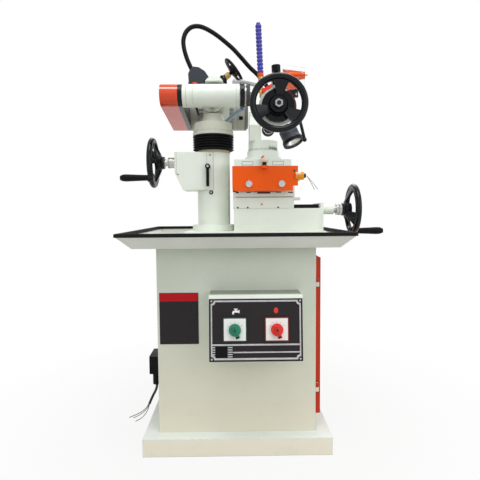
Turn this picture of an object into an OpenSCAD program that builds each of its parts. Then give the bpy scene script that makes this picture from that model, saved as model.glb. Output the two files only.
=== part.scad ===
// Tool and cutter grinder on a cabinet stand: wheelhead on a lifting column, workhead on a compound slide.
// Millimetres, X to the right, Y to the back, Z up, zero at the middle of the plinth's underside.

/* [Stand] */
// Width and depth of the plinth
plinth_w = 560; // [520:5:620]
// Height of the plinth
plinth_h = 53; // [45:1:65]
// Width and depth of the cabinet
cabinet_w = 474; // [450:2:500]
// Sheet thickness of cabinet, tray and control box
sheet_t = 3; // [2:0.5:4]
// Width of the tray floor
tray_floor_w = 586; // [570:2:610]
// Depth of the tray floor
tray_floor_d = 608; // [590:2:630]
// How far each tray wall leans out
tray_lean = 35; // [25:1:45]
// Height of the tray walls
tray_h = 34; // [28:1:40]
// Height of the edging on the tray rim
edging_h = 10; // [8:1:14]
// Thickness of the cabinet door
door_t = 15; // [12:1:18]
// Height of the cabinet door
door_h = 478; // [460:1:490]
// Height of the cabinet above its door
door_over = 36; // [30:1:60]
// Width of the cabinet door
door_w = 440; // [420:2:446]

/* [Control box] */
// Width of the control box
control_w = 264; // [250:2:280]
// Height of the control box
control_h = 185; // [175:1:195]
// Depth of the control box at the top
control_d = 78; // [70:1:90]
// How far the foot of the sloped front stands out
control_slope = 15; // [8:1:20]
// Side of a switch plate
switch_w = 61; // [56:1:66]
// Distance between the two switches
switch_pitch = 117; // [104:1:122]

/* [Column] */
// Column place, left of the middle
column_x = -71; // [-76:1:-66]
// Column place, in front of the middle
column_y = -87; // [-92:1:-82]
// Column diameter
column_d = 105; // [100:1:110]
// Height of the bed under column and slides
bed_h = 42.5; // [38:0.5:46]
// Column height above the bed
column_h = 252.5; // [245:0.5:262]
// Quill diameter
quill_d = 80; // [74:1:84]
// Reach of the gearbox bracket from the column axis
bracket_reach = 121; // [116:1:126]
// Height of the gearbox bracket
bracket_h = 123; // [114:1:130]
// Height of the bellows when the head is low
bellows_h = 48; // [42:1:54]
// Outer diameter of the bellows
bellows_d = 133; // [124:1:138]

/* [Handwheels] */
// Diameter of all three large handwheels
wheel_d = 162; // [150:2:170]
// Thickness of the handwheel rims
rim_d = 17; // [14:1:19]
// Length of the revolving grips
grip_l = 82; // [70:2:92]
// Largest diameter of the revolving grips
grip_d = 23; // [20:1:25]

/* [Wheelhead] */
// Radius of the spindle housing
housing_r = 35; // [33:0.5:37]
// Length of the spindle housing
housing_l = 179; // [170:1:185]
// Spindle axis in front of the column axis
spindle_out = 43; // [41:0.5:46]
// Radius of the grinding wheel
stone_r = 32; // [26:1:34]
// Width of the grinding wheel
stone_w = 12; // [8:1:14]
// Motor axis behind the spindle axis
motor_back = 280; // [270:1:290]
// Radius of the motor
motor_r = 55; // [52:1:58]
// Width of the belt guard
guard_w = 55; // [52:1:60]
// Segments of the coolant hose
hose_segments = 13; // [11:1:14]
// Pitch of the hose segments
hose_pitch = 11.5; // [10.5:0.5:12]

/* [Slides] */
// Left end of the slide base
slide_x = -6; // [-8:1:-2]
// Length of the slide base
slide_l = 264; // [260:1:270]
// Depth of the slide base and saddle
slide_d = 180; // [174:1:186]
// Middle of the slides, in front of the middle
slide_y = -110; // [-112:1:-108]
// Height of the slide base
slide_h = 69.5; // [66:0.5:72]
// Length of the saddle
saddle_l = 184; // [180:1:188]
// Height of the saddle
saddle_h = 50; // [48:0.5:53]
// Height of the guide block on the saddle
guide_h = 69; // [66:0.5:70]
// Width of the table plate
table_w = 168; // [164:1:172]
// Depth of the table plate
table_d = 222; // [220:1:226]
// Thickness of the table plate
table_t = 19; // [16:0.5:21]
// Diameter of the two guide rods
rod_d = 16; // [14:1:18]
// Distance between the guide rods
rod_pitch = 97; // [90:1:104]

/* [Workhead] */
// Swivel axis of the workhead, right of the middle
work_x = 88; // [86:1:90]
// Swivel axis of the workhead, in front of the middle
work_y = -120; // [-122:1:-118]
// Height of the workhead axis above the table
work_h = 144.5; // [142:0.5:147]
// Radius of the workhead barrel
barrel_r = 37; // [34:0.5:38]
// Radius of the workhead front flange
nose_r = 54; // [50:0.5:56]
// Radius of the index plate
index_r = 46; // [44:0.5:49]
// Number of index notches
index_n = 24; // [12:12:24]
// Bore of the work spindle
work_bore_d = 20; // [16:1:24]

/* [Hidden] */
$fn = 64;
// Overrun of cuts
over = 1;
// Free clearance between moving pieces
gap = 0.3;
// Radial running fit
fit = 0.05;
// Half a turn and part turns used for shapes
third_turn = 120;

// Stand heights
door_rise = 50;
cabinet_h = door_rise + door_h + door_over;
cabinet_z = plinth_h;
tray_z = plinth_h + cabinet_h;
tray_top_z = tray_z + tray_h;
bed_z = tray_z + sheet_t;
bed_top = tray_z + bed_h;
cabinet_r = cabinet_w / 2;

// Cabinet door opening and hinges
door_inset = 10;
door_y0 = -cabinet_r + door_inset;
door_z0 = plinth_h + door_rise;
door_skin = 2.5;
door_lip = 22;
door_gap = 0.5;
door_x0 = cabinet_r + door_gap;
hinge_r = 5;
hinge_pin_r = 2.5;
hinge_h = 26;
hinge_x = cabinet_r + hinge_r + door_gap;
hinge_y = door_y0 - hinge_r - door_gap;
hinge_up = 84;
hinge_down = 73;
hinge_z_low = door_z0 + hinge_up;
hinge_z_high = door_z0 + door_h - hinge_down;
latch_r = 14;
latch_t = 12;
latch_back = 30;
latch_stem_r = 5;

// Edging round the tray
edging_in = 10;
edging_out = 4;

// Coolant tank and pump in the cabinet
tank_w = 300;
tank_d = 150;
tank_h = 140;
tank_x = -60;
tank_back = 32;
tank_y = cabinet_r - tank_back - tank_d / 2;
pump_r = 52;
pump_h = 130;
pump_neck_r = 34;
pump_neck_h = 26;

// Control box
control_x = 53;
control_rise = 248;
control_bottom = plinth_h + control_rise;
control_top = control_bottom + control_h;
control_bevel_y = 4;
control_bevel_z = 9;
control_front_y = -cabinet_r - control_d;
control_front_top = control_top - control_bevel_z;
control_foot_y = control_front_y - control_slope;
control_angle = atan(control_slope / (control_front_top - control_bottom));
panel_t = 2;
panel_edge = 1;
switch_plate_t = 6;
switch_shift = 0.5;
switch_mid_x = control_x - switch_shift;
switch_up = 91;
switch_bore_r = 5;
knob_disc_r = 17;
knob_disc_t = 9;
knob_bar_l = 23;
knob_tail_l = 14;
knob_bar_w = 11;
knob_bar_t = 17;
knob_stem_l = 5;
green_turn = -68;
red_turn = -70;

// Blank plate on the cabinet front
blank_x0 = -230;
blank_w = 116;
blank_rise = 272;
blank_z0 = plinth_h + blank_rise;
blank_h = 155;
blank_t = 1;

// Junction box, gland and mains lead
junction_w = 53;
junction_d = 86;
junction_h = 59;
junction_y = -65;
junction_rise = 132;
junction_z = plinth_h + junction_rise;
junction_wall = 3;
gland_x = -274;
gland_r = 13;
gland_nut_r = 15;
gland_nut_h = 14;
gland_l = 48;
gland_bore = 4.25;
lead_r = 4.25;
core_r = 1.25;
lead_sides = 10;
core_sides = 8;
gland_tip_z = junction_z - gland_l;
lead_from = [gland_x, junction_y, gland_tip_z];
lead_drop = [-27, -1, -71];
lead_end = lead_from + lead_drop;
lead_shape = [
    [0, 0, 4], [0, 0, -6], [-2, 0, -17], [-7, 0, -29],
    [-14, -1, -42], [-21, -1, -57], lead_drop
];
lead_route = [for (p = lead_shape) lead_from + p];
core_shape_a = [[-1.5, 0, 1.5], [-10, -2, -13], [-26, -4, -26], [-46, -5, -36], [-68, -6, -45]];
core_shape_b = [[0, 1.5, 1.5], [-7, 4, -15], [-19, 8, -30], [-36, 11, -44], [-59, 13, -56]];
core_shape_c = [[1.5, -1.5, 1.5], [-4, -2, -17], [-13, -1, -33], [-28, 0, -50], [-49, 1, -62]];
lead_steps = 3;

// Column, quill and lifting gear
flange_d = 140;
flange_t = 19;
column_top = bed_top + column_h;
lip_h = 4;
lip_r = 52.4;
bracket_half = 52;
bracket_cut_x = 26;
bracket_cut_z = 56;
bracket_drop = 4;
bracket_x0 = column_x - bracket_reach;
bracket_z0 = column_top - bracket_h;
well_floor = 30;
quill_r = quill_d / 2;
quill_in_r = 30;
quill_drop = 192;
lift_drop = 32;
lift_z = column_top - lift_drop;
shaft_r = 8;
shaft_slot_half = 11;
bevel_r = 18;
bevel_t = 10;
bevel_nose = 8;
screw_r = 8;
screw_foot_r = 6;
screw_seat = 20;
screw_head_r = 10;
nut_over = 20;
nut_z0 = lift_z + nut_over;
nut_h = 26;
screw_over = 153;
screw_top = lift_z + screw_over;
screw_room = 3;
bellows_z = column_top + lip_h;
bellows_pleats = 6;
bellows_wall = 8;
bellows_deep = 7;
swivel_z = bellows_z + bellows_h;
swivel_t = 21;
swivel_r = 64;
swivel_low_r = 66;
swivel_step = 8;
screw_way_r = 12;
clamp_drop = 18;
clamp_side = 16;
clamp_z = lift_z - clamp_drop;
clamp_x = column_x - clamp_side;
stud_r = 4;
stud_in = 10;
lever_hub_r = 8;
lever_hub_l = 18;
lever_l = 62;
lever_w = 9;
lever_t = 9;

// Lifting handwheel and its dial
lift_boss_r = 20;
lift_boss_l = 3;
lift_dial_r = 17;
lift_sleeve_r = 11;
lift_dial_l = 35;
lift_hub_x = bracket_x0 - lift_boss_l - lift_dial_l - gap;
lift_turn = 222;
hub_d = 40;
hub_l = 30;
hub_bore = 8;
rim_dish = 37;
web_t = 8;
spoke_gap_half = 40;
spoke_fillet = 6;
grip_at = 69;
lug_r = 13;
lug_t = 19;
pin_r = 5;
pin_head_r = 8;
pin_head_t = 4;
grip_gap = 0.4;
grip_shares = [
    [0.00, 0.74], [0.04, 0.80], [0.20, 0.82], [0.55, 0.92],
    [0.82, 1.00], [0.95, 0.94], [1.00, 0.80]
];

// Wheelhead swivel and tilt
plate_t = 18;
plate_r = 61;
block_z = swivel_z + swivel_t + gap;
block_half_w = 31;
block_y0 = -5;
block_y1 = 45;
block_head_r = 38;
neck_low_r = 44;
neck_top_r = 30;
neck_h = 31;
tilt_up = 88;
tilt_z = swivel_z + swivel_t + tilt_up;
tilt_pin_r = 10;
spindle_y = column_y - spindle_out;
spindle_rise = 10;
spindle_z = tilt_z + spindle_rise;
boss_r = 35;
boss_t = 16;
housing_x0 = -163;
housing_x1 = housing_x0 + housing_l;
housing_seam = 32;
seam_w = 1.5;
seam_d = 1;

// Spindle, bearings and grinding wheel
spindle_r = 10;
bearing_r = 23.5;
bearing_w = 14;
bearing_in = 8;
core_bore_r = 20;
collar_r = 38;
collar_t = 14;
collar_bore = 13;
nose_flange_r = 29;
nose_flange_t = 4;
nose_flange_gap = 1;
nose_nut_r = 16;
nose_nut_t = 10;
six = 6;
spindle_pulley_r = 24;
motor_pulley_r = 33;
pulley_w = 20;
pulley_lip = 3;
pulley_lip_t = 2;
belt_t = 4;
belt_clear = 0.2;
loop_in = 0.15;
plate_gap_t = 14;
guard_x1 = housing_x0 - plate_gap_t;
guard_x0 = guard_x1 - guard_w;
guard_front_r = 34.5;
guard_rear_r = 54;
guard_wall = 3;
guard_hole_r = 22;
pulley_in = 30;
pulley_x0 = guard_x1 - pulley_in;

// Motor and its arm
motor_y = spindle_y + motor_back;
motor_x0 = housing_x0;
motor_l = 212;
motor_core = 0.91;
motor_fins = 24;
motor_fin_t = 4;
motor_fin_in = 0.8;
motor_bell_l = 26;
motor_cowl_l = 55;
motor_cowl_cut = 9;
motor_shaft_r = 9.5;
motor_shaft_in = 90;
motor_foot_h = 64;
arm_x0 = -110;
arm_x1 = -20;
arm_rise = 40;
arm_z0 = tilt_z + arm_rise;
arm_t = 31;
arm_top = arm_z0 + arm_t;
arm_sink = 2;
arm_end_t = 14;
hump_r = 34;
hump_x = -67;
hump_back = 3;
hump_y0 = column_y + hump_back;
hump_l = 36;
hump_sink = 19;
hump_z = arm_top - hump_sink;
terminal_w = 70;
terminal_d = 44;
terminal_h = 30;

// Belt tension handwheel
tension_x = -26;
tension_y = -10;
tension_rise = 36;
tension_z = arm_top + tension_rise;
tension_tilt = 52;
tension_post_r = 12;
tension_boss_r = 10;
tension_boss_l = 10;
tension_wheel_d = 95;
tension_rim_d = 10;
tension_hub_d = 26;
tension_hub_l = 16;
tension_stem_l = 24;
tension_stem_r = 6;
tension_dish = 12;
tension_web = 5;

// Lamp
lamp_x0 = -154.5;
lamp_w = 68.5;
lamp_h = 51;
lamp_d = 56;
lamp_y = -18;
lamp_plate_t = 6;
lamp_in = 2;
lamp_plate_l = 92;
lamp_shares = [
    [0.03, 0.00], [0.00, 0.58], [0.10, 0.84], [0.26, 1.00],
    [0.52, 0.96], [0.80, 0.74], [1.00, 0.38], [0.58, 0.00]
];
neck_r = 7.5;
neck_sides = 10;
neck_steps = 4;
neck_from = [lamp_x0, lamp_y, arm_top];
neck_shape = [
    [16, 0, 44], [8, 0, 60], [-6, 0, 93], [-15, 1, 126], [-17, 3, 154], [-9, 6, 180], [8, 10, 198],
    [30, 14, 204], [55, 18, 199], [89, 24, 182], [122, 30, 159], [151, 36, 136], [180, 42, 107],
    [208, 48, 78], [238, 55, 52], [272, 62, 12], [301, 69, -32], [325, 76, -79], [340, 81, -119],
    [344, 80, -132]
];
neck_route = [for (p = neck_shape) neck_from + p];
lamp_back_from = [341, 82, -125];
lamp_back = neck_from + lamp_back_from;
lamp_lean = 152;
lamp_spin = -40;
lamp_l = 64;
lamp_tail_r = 24;
lamp_can_r = 33;
lamp_shoulder = 9;
lamp_cup_r = 12;
lamp_cup = 20;
lamp_rim_r = 38;
lamp_rim_l = 12;
lens_r = 30;
lens_t = 4;
lens_in = 3;

// Coolant bracket, valve, hose and supply
strip_x0 = -8;
strip_foot_l = 22;
strip_step = 39;
strip_d = 14;
strip_sink = 2;
strip_up = 3.3;
strip_high = 10;
strip_fall = 14;
strip_t = 10;
valve_x = 94;
valve_half = 16.5;
valve_d = 13;
valve_low = 12;
valve_high = 14;
valve_rise = 4;
valve_z = spindle_z + valve_rise;
valve_lever_l = 38;
valve_lever_w = 10;
valve_lever_t = 4;
valve_lever_hub = 7;
valve_lever_x = 5;
valve_lever_up = 8;
valve_lever_turn = 30;
lever_in = 0.5;
hose_x = 81;
pipe_r = 7;
pipe_l = 40;
ring_r = 9.8;
ring_l = 10;
hose_lean = -2.4;
hose_r = 9.8;
hose_neck_r = 7.5;
hose_bore_r = 4;
hose_tip_l = 4;
hose_tip_r = 6;
bulb_shares = [[0.0, 0], [0.2, 1], [0.7, 1], [0.95, 0]];
shield_rod_r = 4;
shield_rod_x1 = 228;
shield_rise = 64;
shield_rod_z = spindle_z + shield_rise;
shield_post_x = 141;
shield_low_rise = 45;
shield_x0 = 150;
shield_w = 70;
shield_t = 3;
shield_low = 72;
shield_high_left = 28;
shield_high_right = 20;
frame_t = 8;
sleeve_r = 8;
frame_shape = [
    [0, 15.5], [70, 6.7], [70, -12.5], [52, -16], [48, -48], [48, -70], [36, -70], [36, -48], [8, -48],
        [2, -8]
];
tube_r = 6;
tube_sides = 10;
motor_skin = [column_x, motor_y - motor_r, spindle_z];
spindle_mid = [column_x, spindle_y, spindle_z];
tube_front = [[41, 96, -59], [55, 70, -54], [69, 52, -47], [84, 32, -41], [95, 15, -38.5]];
tube_rear = [[9, 15, -32], [14, -22, -43], [22, -70, -53]];
tube_route = concat([for (p = tube_rear) motor_skin + p], [for (p = tube_front) spindle_mid + p]);
line_r = 4;
line_sides = 8;
line_front = [[-49, 90, -44], [-53, 56, -30], [-57, 36, -18]];
line_rear = [[-43, 12, -26], [-43, -35, -39]];
line_route = concat([for (p = line_rear) motor_skin + p], [for (p = line_front) spindle_mid + p]);
line_steps = 4;

// Slide base, screw and way cover
bed_x0 = -155;
bed_in = 21;
bed_x1 = tray_floor_w / 2 - bed_in;
bed_y0 = -215;
bed_y1 = 75;
slide_y0 = slide_y - slide_d / 2;
slide_y1 = slide_y + slide_d / 2;
slide_top = bed_top + slide_h;
slide_x1 = slide_x + slide_l;
channel_half = 50;
channel_deep = 29;
channel_x0 = 8;
end_t = 10;
end_h = 85;
end_half = 62;
cross_y = -129;
cross_drop = 4;
cross_z = slide_top - cross_drop;
cross_screw_r = 6.5;
cross_screw_in = 6;
cross_boss_r = 15.5;
cross_boss_least = 16;
cross_dial_r = 18;
cross_dial_l = 26;
wheel_clear = 5.3;
edging_x = tray_floor_w / 2 + tray_lean + edging_out;
cross_boss_l = max(cross_boss_least, edging_x + wheel_clear - slide_x1 - end_t - cross_dial_l - gap);
cross_sleeve_r = 11;
cross_hub_x = slide_x1 + end_t + cross_boss_l + cross_dial_l + gap;
cover_half = 55;
cover_h = 12;
cover_t = 4;
cover_lip = 8;
cover_gap = 1;
cover_x0 = slide_x + saddle_l;
cover_ribs = 9;
cover_rib_d = 1.5;

// Saddle, guide block and stop
saddle_over = 2;
saddle_x = slide_x - saddle_over;
saddle_z = slide_top + gap;
saddle_top = slide_top + saddle_h;
saddle_seam_z = 33;
key_l = 76;
key_deep = 26;
tunnel_l = 88;
tunnel_gap = 1.5;
guide_x0 = 8;
guide_x1 = 166;
guide_y0 = -180;
guide_y1 = -92;
guide_top = saddle_top + guide_h;
rod_mid = 87.5;
rod_up = 22;
stop_w = 27;
stop_y0 = -150;
stop_d = 30;
stop_low = 24;
stop_high = 46;
stop_t = 9;

// Table, end plates, rods and small fittings
table_x0 = -4;
table_y0 = -230;
table_gap = 5.5;
table_z = guide_top + table_gap;
table_top = table_z + table_t;
plate_x0 = -10;
plate_x1 = 184;
plate_d = 8;
plate_clear = 1.5;
plate_z0 = saddle_top + plate_clear;
plate_notch = 15;
cap_r = 10;
cap_t = 2;
slot_w = 12;
slot_deep = 9;
lug_w = 16;
lug_d = 23;
lug_h = 8;
lock_x = 84;
lock_ball_r = 10;
lock_collar_r = 6;
lock_collar_h = 9;
lock_stud_r = 3;
lock_stud_l = 6;
socket_x0 = 176;
socket_r = 12;
socket_l = 31;
socket_tip_l = 6.4;
socket_tip_r = 6.5;
socket_y = table_y0 + plate_d / 2;
socket_drop = 29;
socket_z = table_z - socket_drop;
socket_bore = 5;
wire_r = 0.8;
wire_sides = 8;
wire_steps = 3;
wire_in = 3;
wire_exit_x = socket_x0 + socket_l;
wire_from = [wire_exit_x, socket_y, socket_z];
wire_shape_a = [[-3, -2, 0], [5, -2, -1], [13, -2, -7], [20, -2, -19], [25, -2, -31], [27, -2, -42]];
wire_shape_b = [[-3, 2, 0], [6, 2, -1], [17, 2, -6], [27, 2, -16], [34, 2, -28], [37, 2, -40]];

// Workhead
work_flange_r = 57;
work_flange_t = 17;
work_ring_r = 50;
work_ring_t = 19;
work_scale_r = 46;
work_scale_t = 31;
arm_foot_z = table_top + gap + work_flange_t + work_ring_t + work_scale_t;
work_z = table_top + work_h;
work_offset = 32.5;
arm_left = 44;
arm_right = 8;
work_axis_x = work_x + work_offset;
work_arm_x0 = work_x - arm_left;
work_arm_x1 = work_x - arm_right;
work_arm_half = 38;
work_arm_top_r = 19;
work_arm_shoulder = 30;
trunnion_r = 12;
trunnion_boss_r = 26;
clamp_boss_r = 17;
clamp_out = 75;
clamp_boss_x = work_axis_x + clamp_out;
clamp_thread_r = 6;
clamp_thread_l = 10;
barrel_y0 = -262;
barrel_y1 = -75;
nose_t = 15;
work_spindle_r = 16;
work_bore_l = 120;
index_t = 12;
index_gap = 4;
notch_r = 4;
notch_deep = 8;
wheel_gap = 2;
work_hub_d = 46;
work_hub_l = 16;
work_dish = 27;
work_web_t = 9;
work_turn = 23;
work_gap_half = 41;
nut_r = 14;
nut_t = 8;
plunger_half = 12;
plunger_high = 41;
plunger_turn = -2.8;
plunger_r = 6;
plunger_tip_r = 3.6;
plunger_travel = 4.5;
plunger_knob_r = 12.5;
plunger_knob_h = 18;
plunger_knob_z = 5;
knob_side = 24;
knob_drop = 59;
knob_x = work_axis_x - knob_side;
knob_z = work_z - knob_drop;
knob_lug_half = 11;
knob_lug_y0 = -222;
knob_lug_y1 = -196;
knob_r = 18.5;
knob_l = 16;
knob_stud_r = 5;
knob_stud_l = 14;
tilt_hub_r = 13;
tilt_hub_l = 16;
tilt_lever_r = 5;
tilt_lever_l = 72;
tilt_lean = 14;
tilt_ball_r = 7;

// Shapes between two corners or two ends
module block(a, b) translate(a) cube(b - a);
module rod_x(r, a, b) translate([a, 0, 0]) rotate([0, 90, 0]) cylinder(r = r, h = b - a);
module rod_y(r, a, b) translate([0, a, 0]) rotate([-90, 0, 0]) cylinder(r = r, h = b - a);
module rod_z(r, a, b) translate([0, 0, a]) cylinder(r = r, h = b - a);

// Outline drawn in Y and Z, drawn out along X
module prism_x(a, b) translate([a, 0, 0]) rotate([90, 0, 90]) linear_extrude(b - a) children();

// Outline drawn in X and Z, drawn out along Y
module prism_y(a, b) translate([0, b, 0]) rotate([90, 0, 0]) linear_extrude(b - a) children();

// Box whose top and bottom differ in size
module frustum(w0, d0, w1, d1, h) {
    polyhedron(
        points = [
            [-w0 / 2, -d0 / 2, 0], [w0 / 2, -d0 / 2, 0], [w0 / 2, d0 / 2, 0], [-w0 / 2, d0 / 2, 0],
            [-w1 / 2, -d1 / 2, h], [w1 / 2, -d1 / 2, h], [w1 / 2, d1 / 2, h], [-w1 / 2, d1 / 2, h]
        ],
        faces = [[0, 1, 2, 3], [7, 6, 5, 4], [0, 4, 5, 1], [1, 5, 6, 2], [2, 6, 7, 3], [3, 7, 4, 0]]
    );
}

// Two circles joined by straight sides that run a little inside their outer tangents
module loop_2d(r1, r2, c) {
    a = acos((r1 - r2) / c);
    q1 = r1 - loop_in;
    q2 = r2 - loop_in;
    circle(r = r1);
    translate([c, 0]) circle(r = r2);
    polygon([
        [q1 * cos(a), q1 * sin(a)], [q1 * cos(a), -q1 * sin(a)],
        [c + q2 * cos(a), -q2 * sin(a)], [c + q2 * cos(a), q2 * sin(a)]
    ]);
}

// Smooth route through points
function spline_at(a, b, c, d, t) =
    (2 * b + (c - a) * t + (2 * a - 5 * b + 4 * c - d) * t * t + (3 * b - a - 3 * c + d) * t * t * t) / 2;
function spline(p, n) = concat(
    [for (i = [0:len(p) - 2]) for (k = [0:n - 1])
        spline_at(p[max(i - 1, 0)], p[i], p[i + 1], p[min(i + 2, len(p) - 1)], k / n)],
    [p[len(p) - 1]]
);
function unit(v) = v / norm(v);
function tangent(p, i) = unit(p[min(i + 1, len(p) - 1)] - p[max(i - 1, 0)]);

// Solid round tube along a route, side is a direction the route never follows
module swept(p, r, n, side) {
    m = len(p);
    pts = [for (i = [0:m - 1])
        let (t = tangent(p, i), a = unit(cross(t, side)), b = cross(t, a))
        for (k = [0:n - 1]) p[i] + r * (cos(360 * k / n) * a + sin(360 * k / n) * b)];
    walls = [for (i = [0:m - 2]) for (k = [0:n - 1])
        [i * n + k, (i + 1) * n + k, (i + 1) * n + (k + 1) % n, i * n + (k + 1) % n]];
    tris = [for (q = walls) for (h = [0, 1]) h == 0 ? [q[0], q[1], q[2]] : [q[0], q[2], q[3]]];
    first = [for (k = [0:n - 1]) k];
    last = [for (k = [n - 1:-1:0]) (m - 1) * n + k];
    polyhedron(points = pts, faces = concat(tris, [first], [last]));
}

// Handwheel about Z, hub back at zero, rim forward of it, gaps between three spokes
module hand_wheel(d, rim, hub, hub_long, bore, dish, web, gap_half) {
    rim_r = (d - rim) / 2;
    in_r = hub / 2 + spoke_fillet;
    out_r = rim_r - rim / 2 - over;
    difference() {
        rotate_extrude() {
            translate([rim_r, dish]) circle(d = rim);
            polygon([[bore, 0], [hub / 2, 0], [hub / 2, hub_long], [bore, hub_long]]);
            polygon([
                [hub / 2 - over, hub_long / 2 - web], [rim_r, dish - web / 2],
                [rim_r, dish + web / 2], [hub / 2 - over, hub_long / 2]
            ]);
        }
        for (k = [0:2]) rotate(third_turn * k) intersection() {
            difference() {
                rod_z(out_r, -over, dish + rim);
                rod_z(in_r, -over - over, dish + rim + over);
            }
            translate([0, 0, -over]) linear_extrude(dish + rim) polygon([
                [0, 0], [d * cos(gap_half), -d * sin(gap_half)], [d * cos(gap_half), d * sin(gap_half)]
            ]);
        }
    }
}

// Pin of a revolving grip on a handwheel rim
module grip_pin() {
    translate([grip_at, 0, 0]) {
        rod_z(lug_r, rim_dish - lug_t / 2, rim_dish + lug_t / 2);
        rod_z(pin_r, rim_dish, rim_dish + lug_t / 2 + grip_l + grip_gap + pin_head_t);
        rod_z(pin_head_r, rim_dish + lug_t / 2 + grip_l + 2 * grip_gap,
            rim_dish + lug_t / 2 + grip_l + 2 * grip_gap + pin_head_t);
    }
}

// Revolving grip, thicker towards its end
module grip() {
    outline = [for (s = grip_shares) [s[1] * grip_d / 2, s[0] * grip_l]];
    translate([grip_at, 0, rim_dish + lug_t / 2 + grip_gap]) rotate_extrude() polygon(concat(
        [[pin_r + fit, 0]], outline, [[pin_r + fit, grip_l]]
    ));
}

// Stand
module plinth() color("wheat")
    translate([-plinth_w / 2, -plinth_w / 2, 0]) cube([plinth_w, plinth_w, plinth_h]);

module hinge_fixed(z) {
    translate([hinge_x, hinge_y, 0]) {
        rod_z(hinge_r, z - hinge_h / 2, z);
        rod_z(hinge_pin_r, z, z + hinge_h / 2);
    }
    block([cabinet_r, hinge_y - hinge_r, z - hinge_h / 2], [hinge_x, hinge_y + hinge_r, z]);
}

module cabinet() color("gainsboro") {
    difference() {
        block([-cabinet_r, -cabinet_r, cabinet_z], [cabinet_r, cabinet_r, tray_z]);
        block([-cabinet_r + sheet_t, -cabinet_r + sheet_t, cabinet_z + sheet_t],
            [cabinet_r - sheet_t, cabinet_r - sheet_t, tray_z - sheet_t]);
        block([cabinet_r - sheet_t - over, door_y0 + door_lip, door_z0 + door_lip],
            [cabinet_r + over, door_y0 + door_w - door_lip, door_z0 + door_h - door_lip]);
    }
    hinge_fixed(hinge_z_low);
    hinge_fixed(hinge_z_high);
}

module hinge_moving(z) {
    difference() {
        union() {
            translate([hinge_x, hinge_y, 0]) rod_z(hinge_r, z + gap, z + hinge_h / 2);
            block([hinge_x - door_gap, hinge_y, z + gap],
                [hinge_x + hinge_r, door_y0 + over, z + hinge_h / 2]);
        }
        translate([hinge_x, hinge_y, 0]) rod_z(hinge_pin_r + fit, z - over, z + hinge_h);
    }
}

module door() color("orangered") {
    latch_y = door_y0 + door_w - latch_back;
    latch_z = door_z0 + door_h / 2;
    difference() {
        block([door_x0, door_y0, door_z0], [door_x0 + door_t, door_y0 + door_w, door_z0 + door_h]);
        block([door_x0 - over, door_y0 + door_skin, door_z0 + door_skin],
            [door_x0 + door_t - door_skin, door_y0 + door_w - door_skin, door_z0 + door_h - door_skin]);
    }
    hinge_moving(hinge_z_low);
    hinge_moving(hinge_z_high);
    translate([0, latch_y, latch_z])
        rod_x(latch_r, door_x0 + door_t - door_skin, door_x0 + door_t + latch_t);
    translate([0, latch_y, latch_z])
        rod_x(latch_stem_r, door_x0 + door_gap, door_x0 + door_t - door_skin + gap);
}

module tray() color("lightgray")
    translate([0, 0, tray_z]) difference() {
        frustum(tray_floor_w, tray_floor_d, tray_floor_w + 2 * tray_lean, tray_floor_d + 2 * tray_lean,
            tray_h);
        translate([0, 0, sheet_t]) frustum(
            tray_floor_w - 2 * sheet_t, tray_floor_d - 2 * sheet_t,
            tray_floor_w + 2 * tray_lean - 2 * sheet_t, tray_floor_d + 2 * tray_lean - 2 * sheet_t, tray_h
        );
    }

module tray_edging() color("black") {
    w = tray_floor_w / 2 + tray_lean;
    d = tray_floor_d / 2 + tray_lean;
    difference() {
        block([-w - edging_out, -d - edging_out, tray_top_z],
            [w + edging_out, d + edging_out, tray_top_z + edging_h]);
        block([-w + edging_in, -d + edging_in, tray_top_z - over],
            [w - edging_in, d - edging_in, tray_top_z + edging_h + over]);
    }
}

module coolant_pump() color("silver") {
    difference() {
        block([tank_x - tank_w / 2, tank_y - tank_d / 2, cabinet_z + sheet_t],
            [tank_x + tank_w / 2, tank_y + tank_d / 2, cabinet_z + sheet_t + tank_h]);
        block([tank_x - tank_w / 2 + sheet_t, tank_y - tank_d / 2 + sheet_t, cabinet_z + 2 * sheet_t],
            [tank_x + tank_w / 2 - sheet_t, tank_y + tank_d / 2 - sheet_t, cabinet_z + tank_h]);
    }
    translate([tank_x, tank_y, cabinet_z + sheet_t + tank_h]) {
        rod_z(pump_neck_r, 0, pump_neck_h);
        rod_z(pump_r, pump_neck_h, pump_neck_h + pump_h);
    }
}

// Control box: drawn in Y and Z, front sloped out towards its foot
module control_outline(w) polygon([
    [-cabinet_r, control_bottom + w], [-cabinet_r, control_top - w],
    [control_front_y + control_bevel_y + w, control_top - w],
        [control_front_y + w, control_front_top - w],
    [control_foot_y + w, control_bottom + w]
]);

module control_box() color("whitesmoke") difference() {
    prism_x(control_x - control_w / 2, control_x + control_w / 2) control_outline(0);
    prism_x(control_x - control_w / 2 + sheet_t,
        control_x + control_w / 2 - sheet_t) control_outline(sheet_t);
}

// Places on the sloped front, zero at the foot, Z along the slope, Y out of the front turned to minus
module on_front(x, up)
    translate([x, control_foot_y, control_bottom]) rotate([-control_angle, 0, 0])
        translate([0, 0, up]) children();

module front_plates() color("darkslategray") {
    slope_l = (control_front_top - control_bottom) / cos(control_angle);
    on_front(control_x, 0)
        block([-control_w / 2 + panel_edge, -panel_t, panel_edge],
            [control_w / 2 - panel_edge, 0, slope_l - panel_edge]);
    block([blank_x0, -cabinet_r - blank_t, blank_z0],
        [blank_x0 + blank_w, -cabinet_r, blank_z0 + blank_h]);
}

module switch_plate(x) on_front(x, switch_up) difference() {
    block([-switch_w / 2, -panel_t - switch_plate_t, -switch_w / 2],
        [switch_w / 2, -panel_t, switch_w / 2]);
    rod_y(switch_bore_r + fit, -panel_t - switch_plate_t - over, -panel_t + over);
}

module switch_plates() color("white") {
    switch_plate(switch_mid_x - switch_pitch / 2);
    switch_plate(switch_mid_x + switch_pitch / 2);
}

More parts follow.
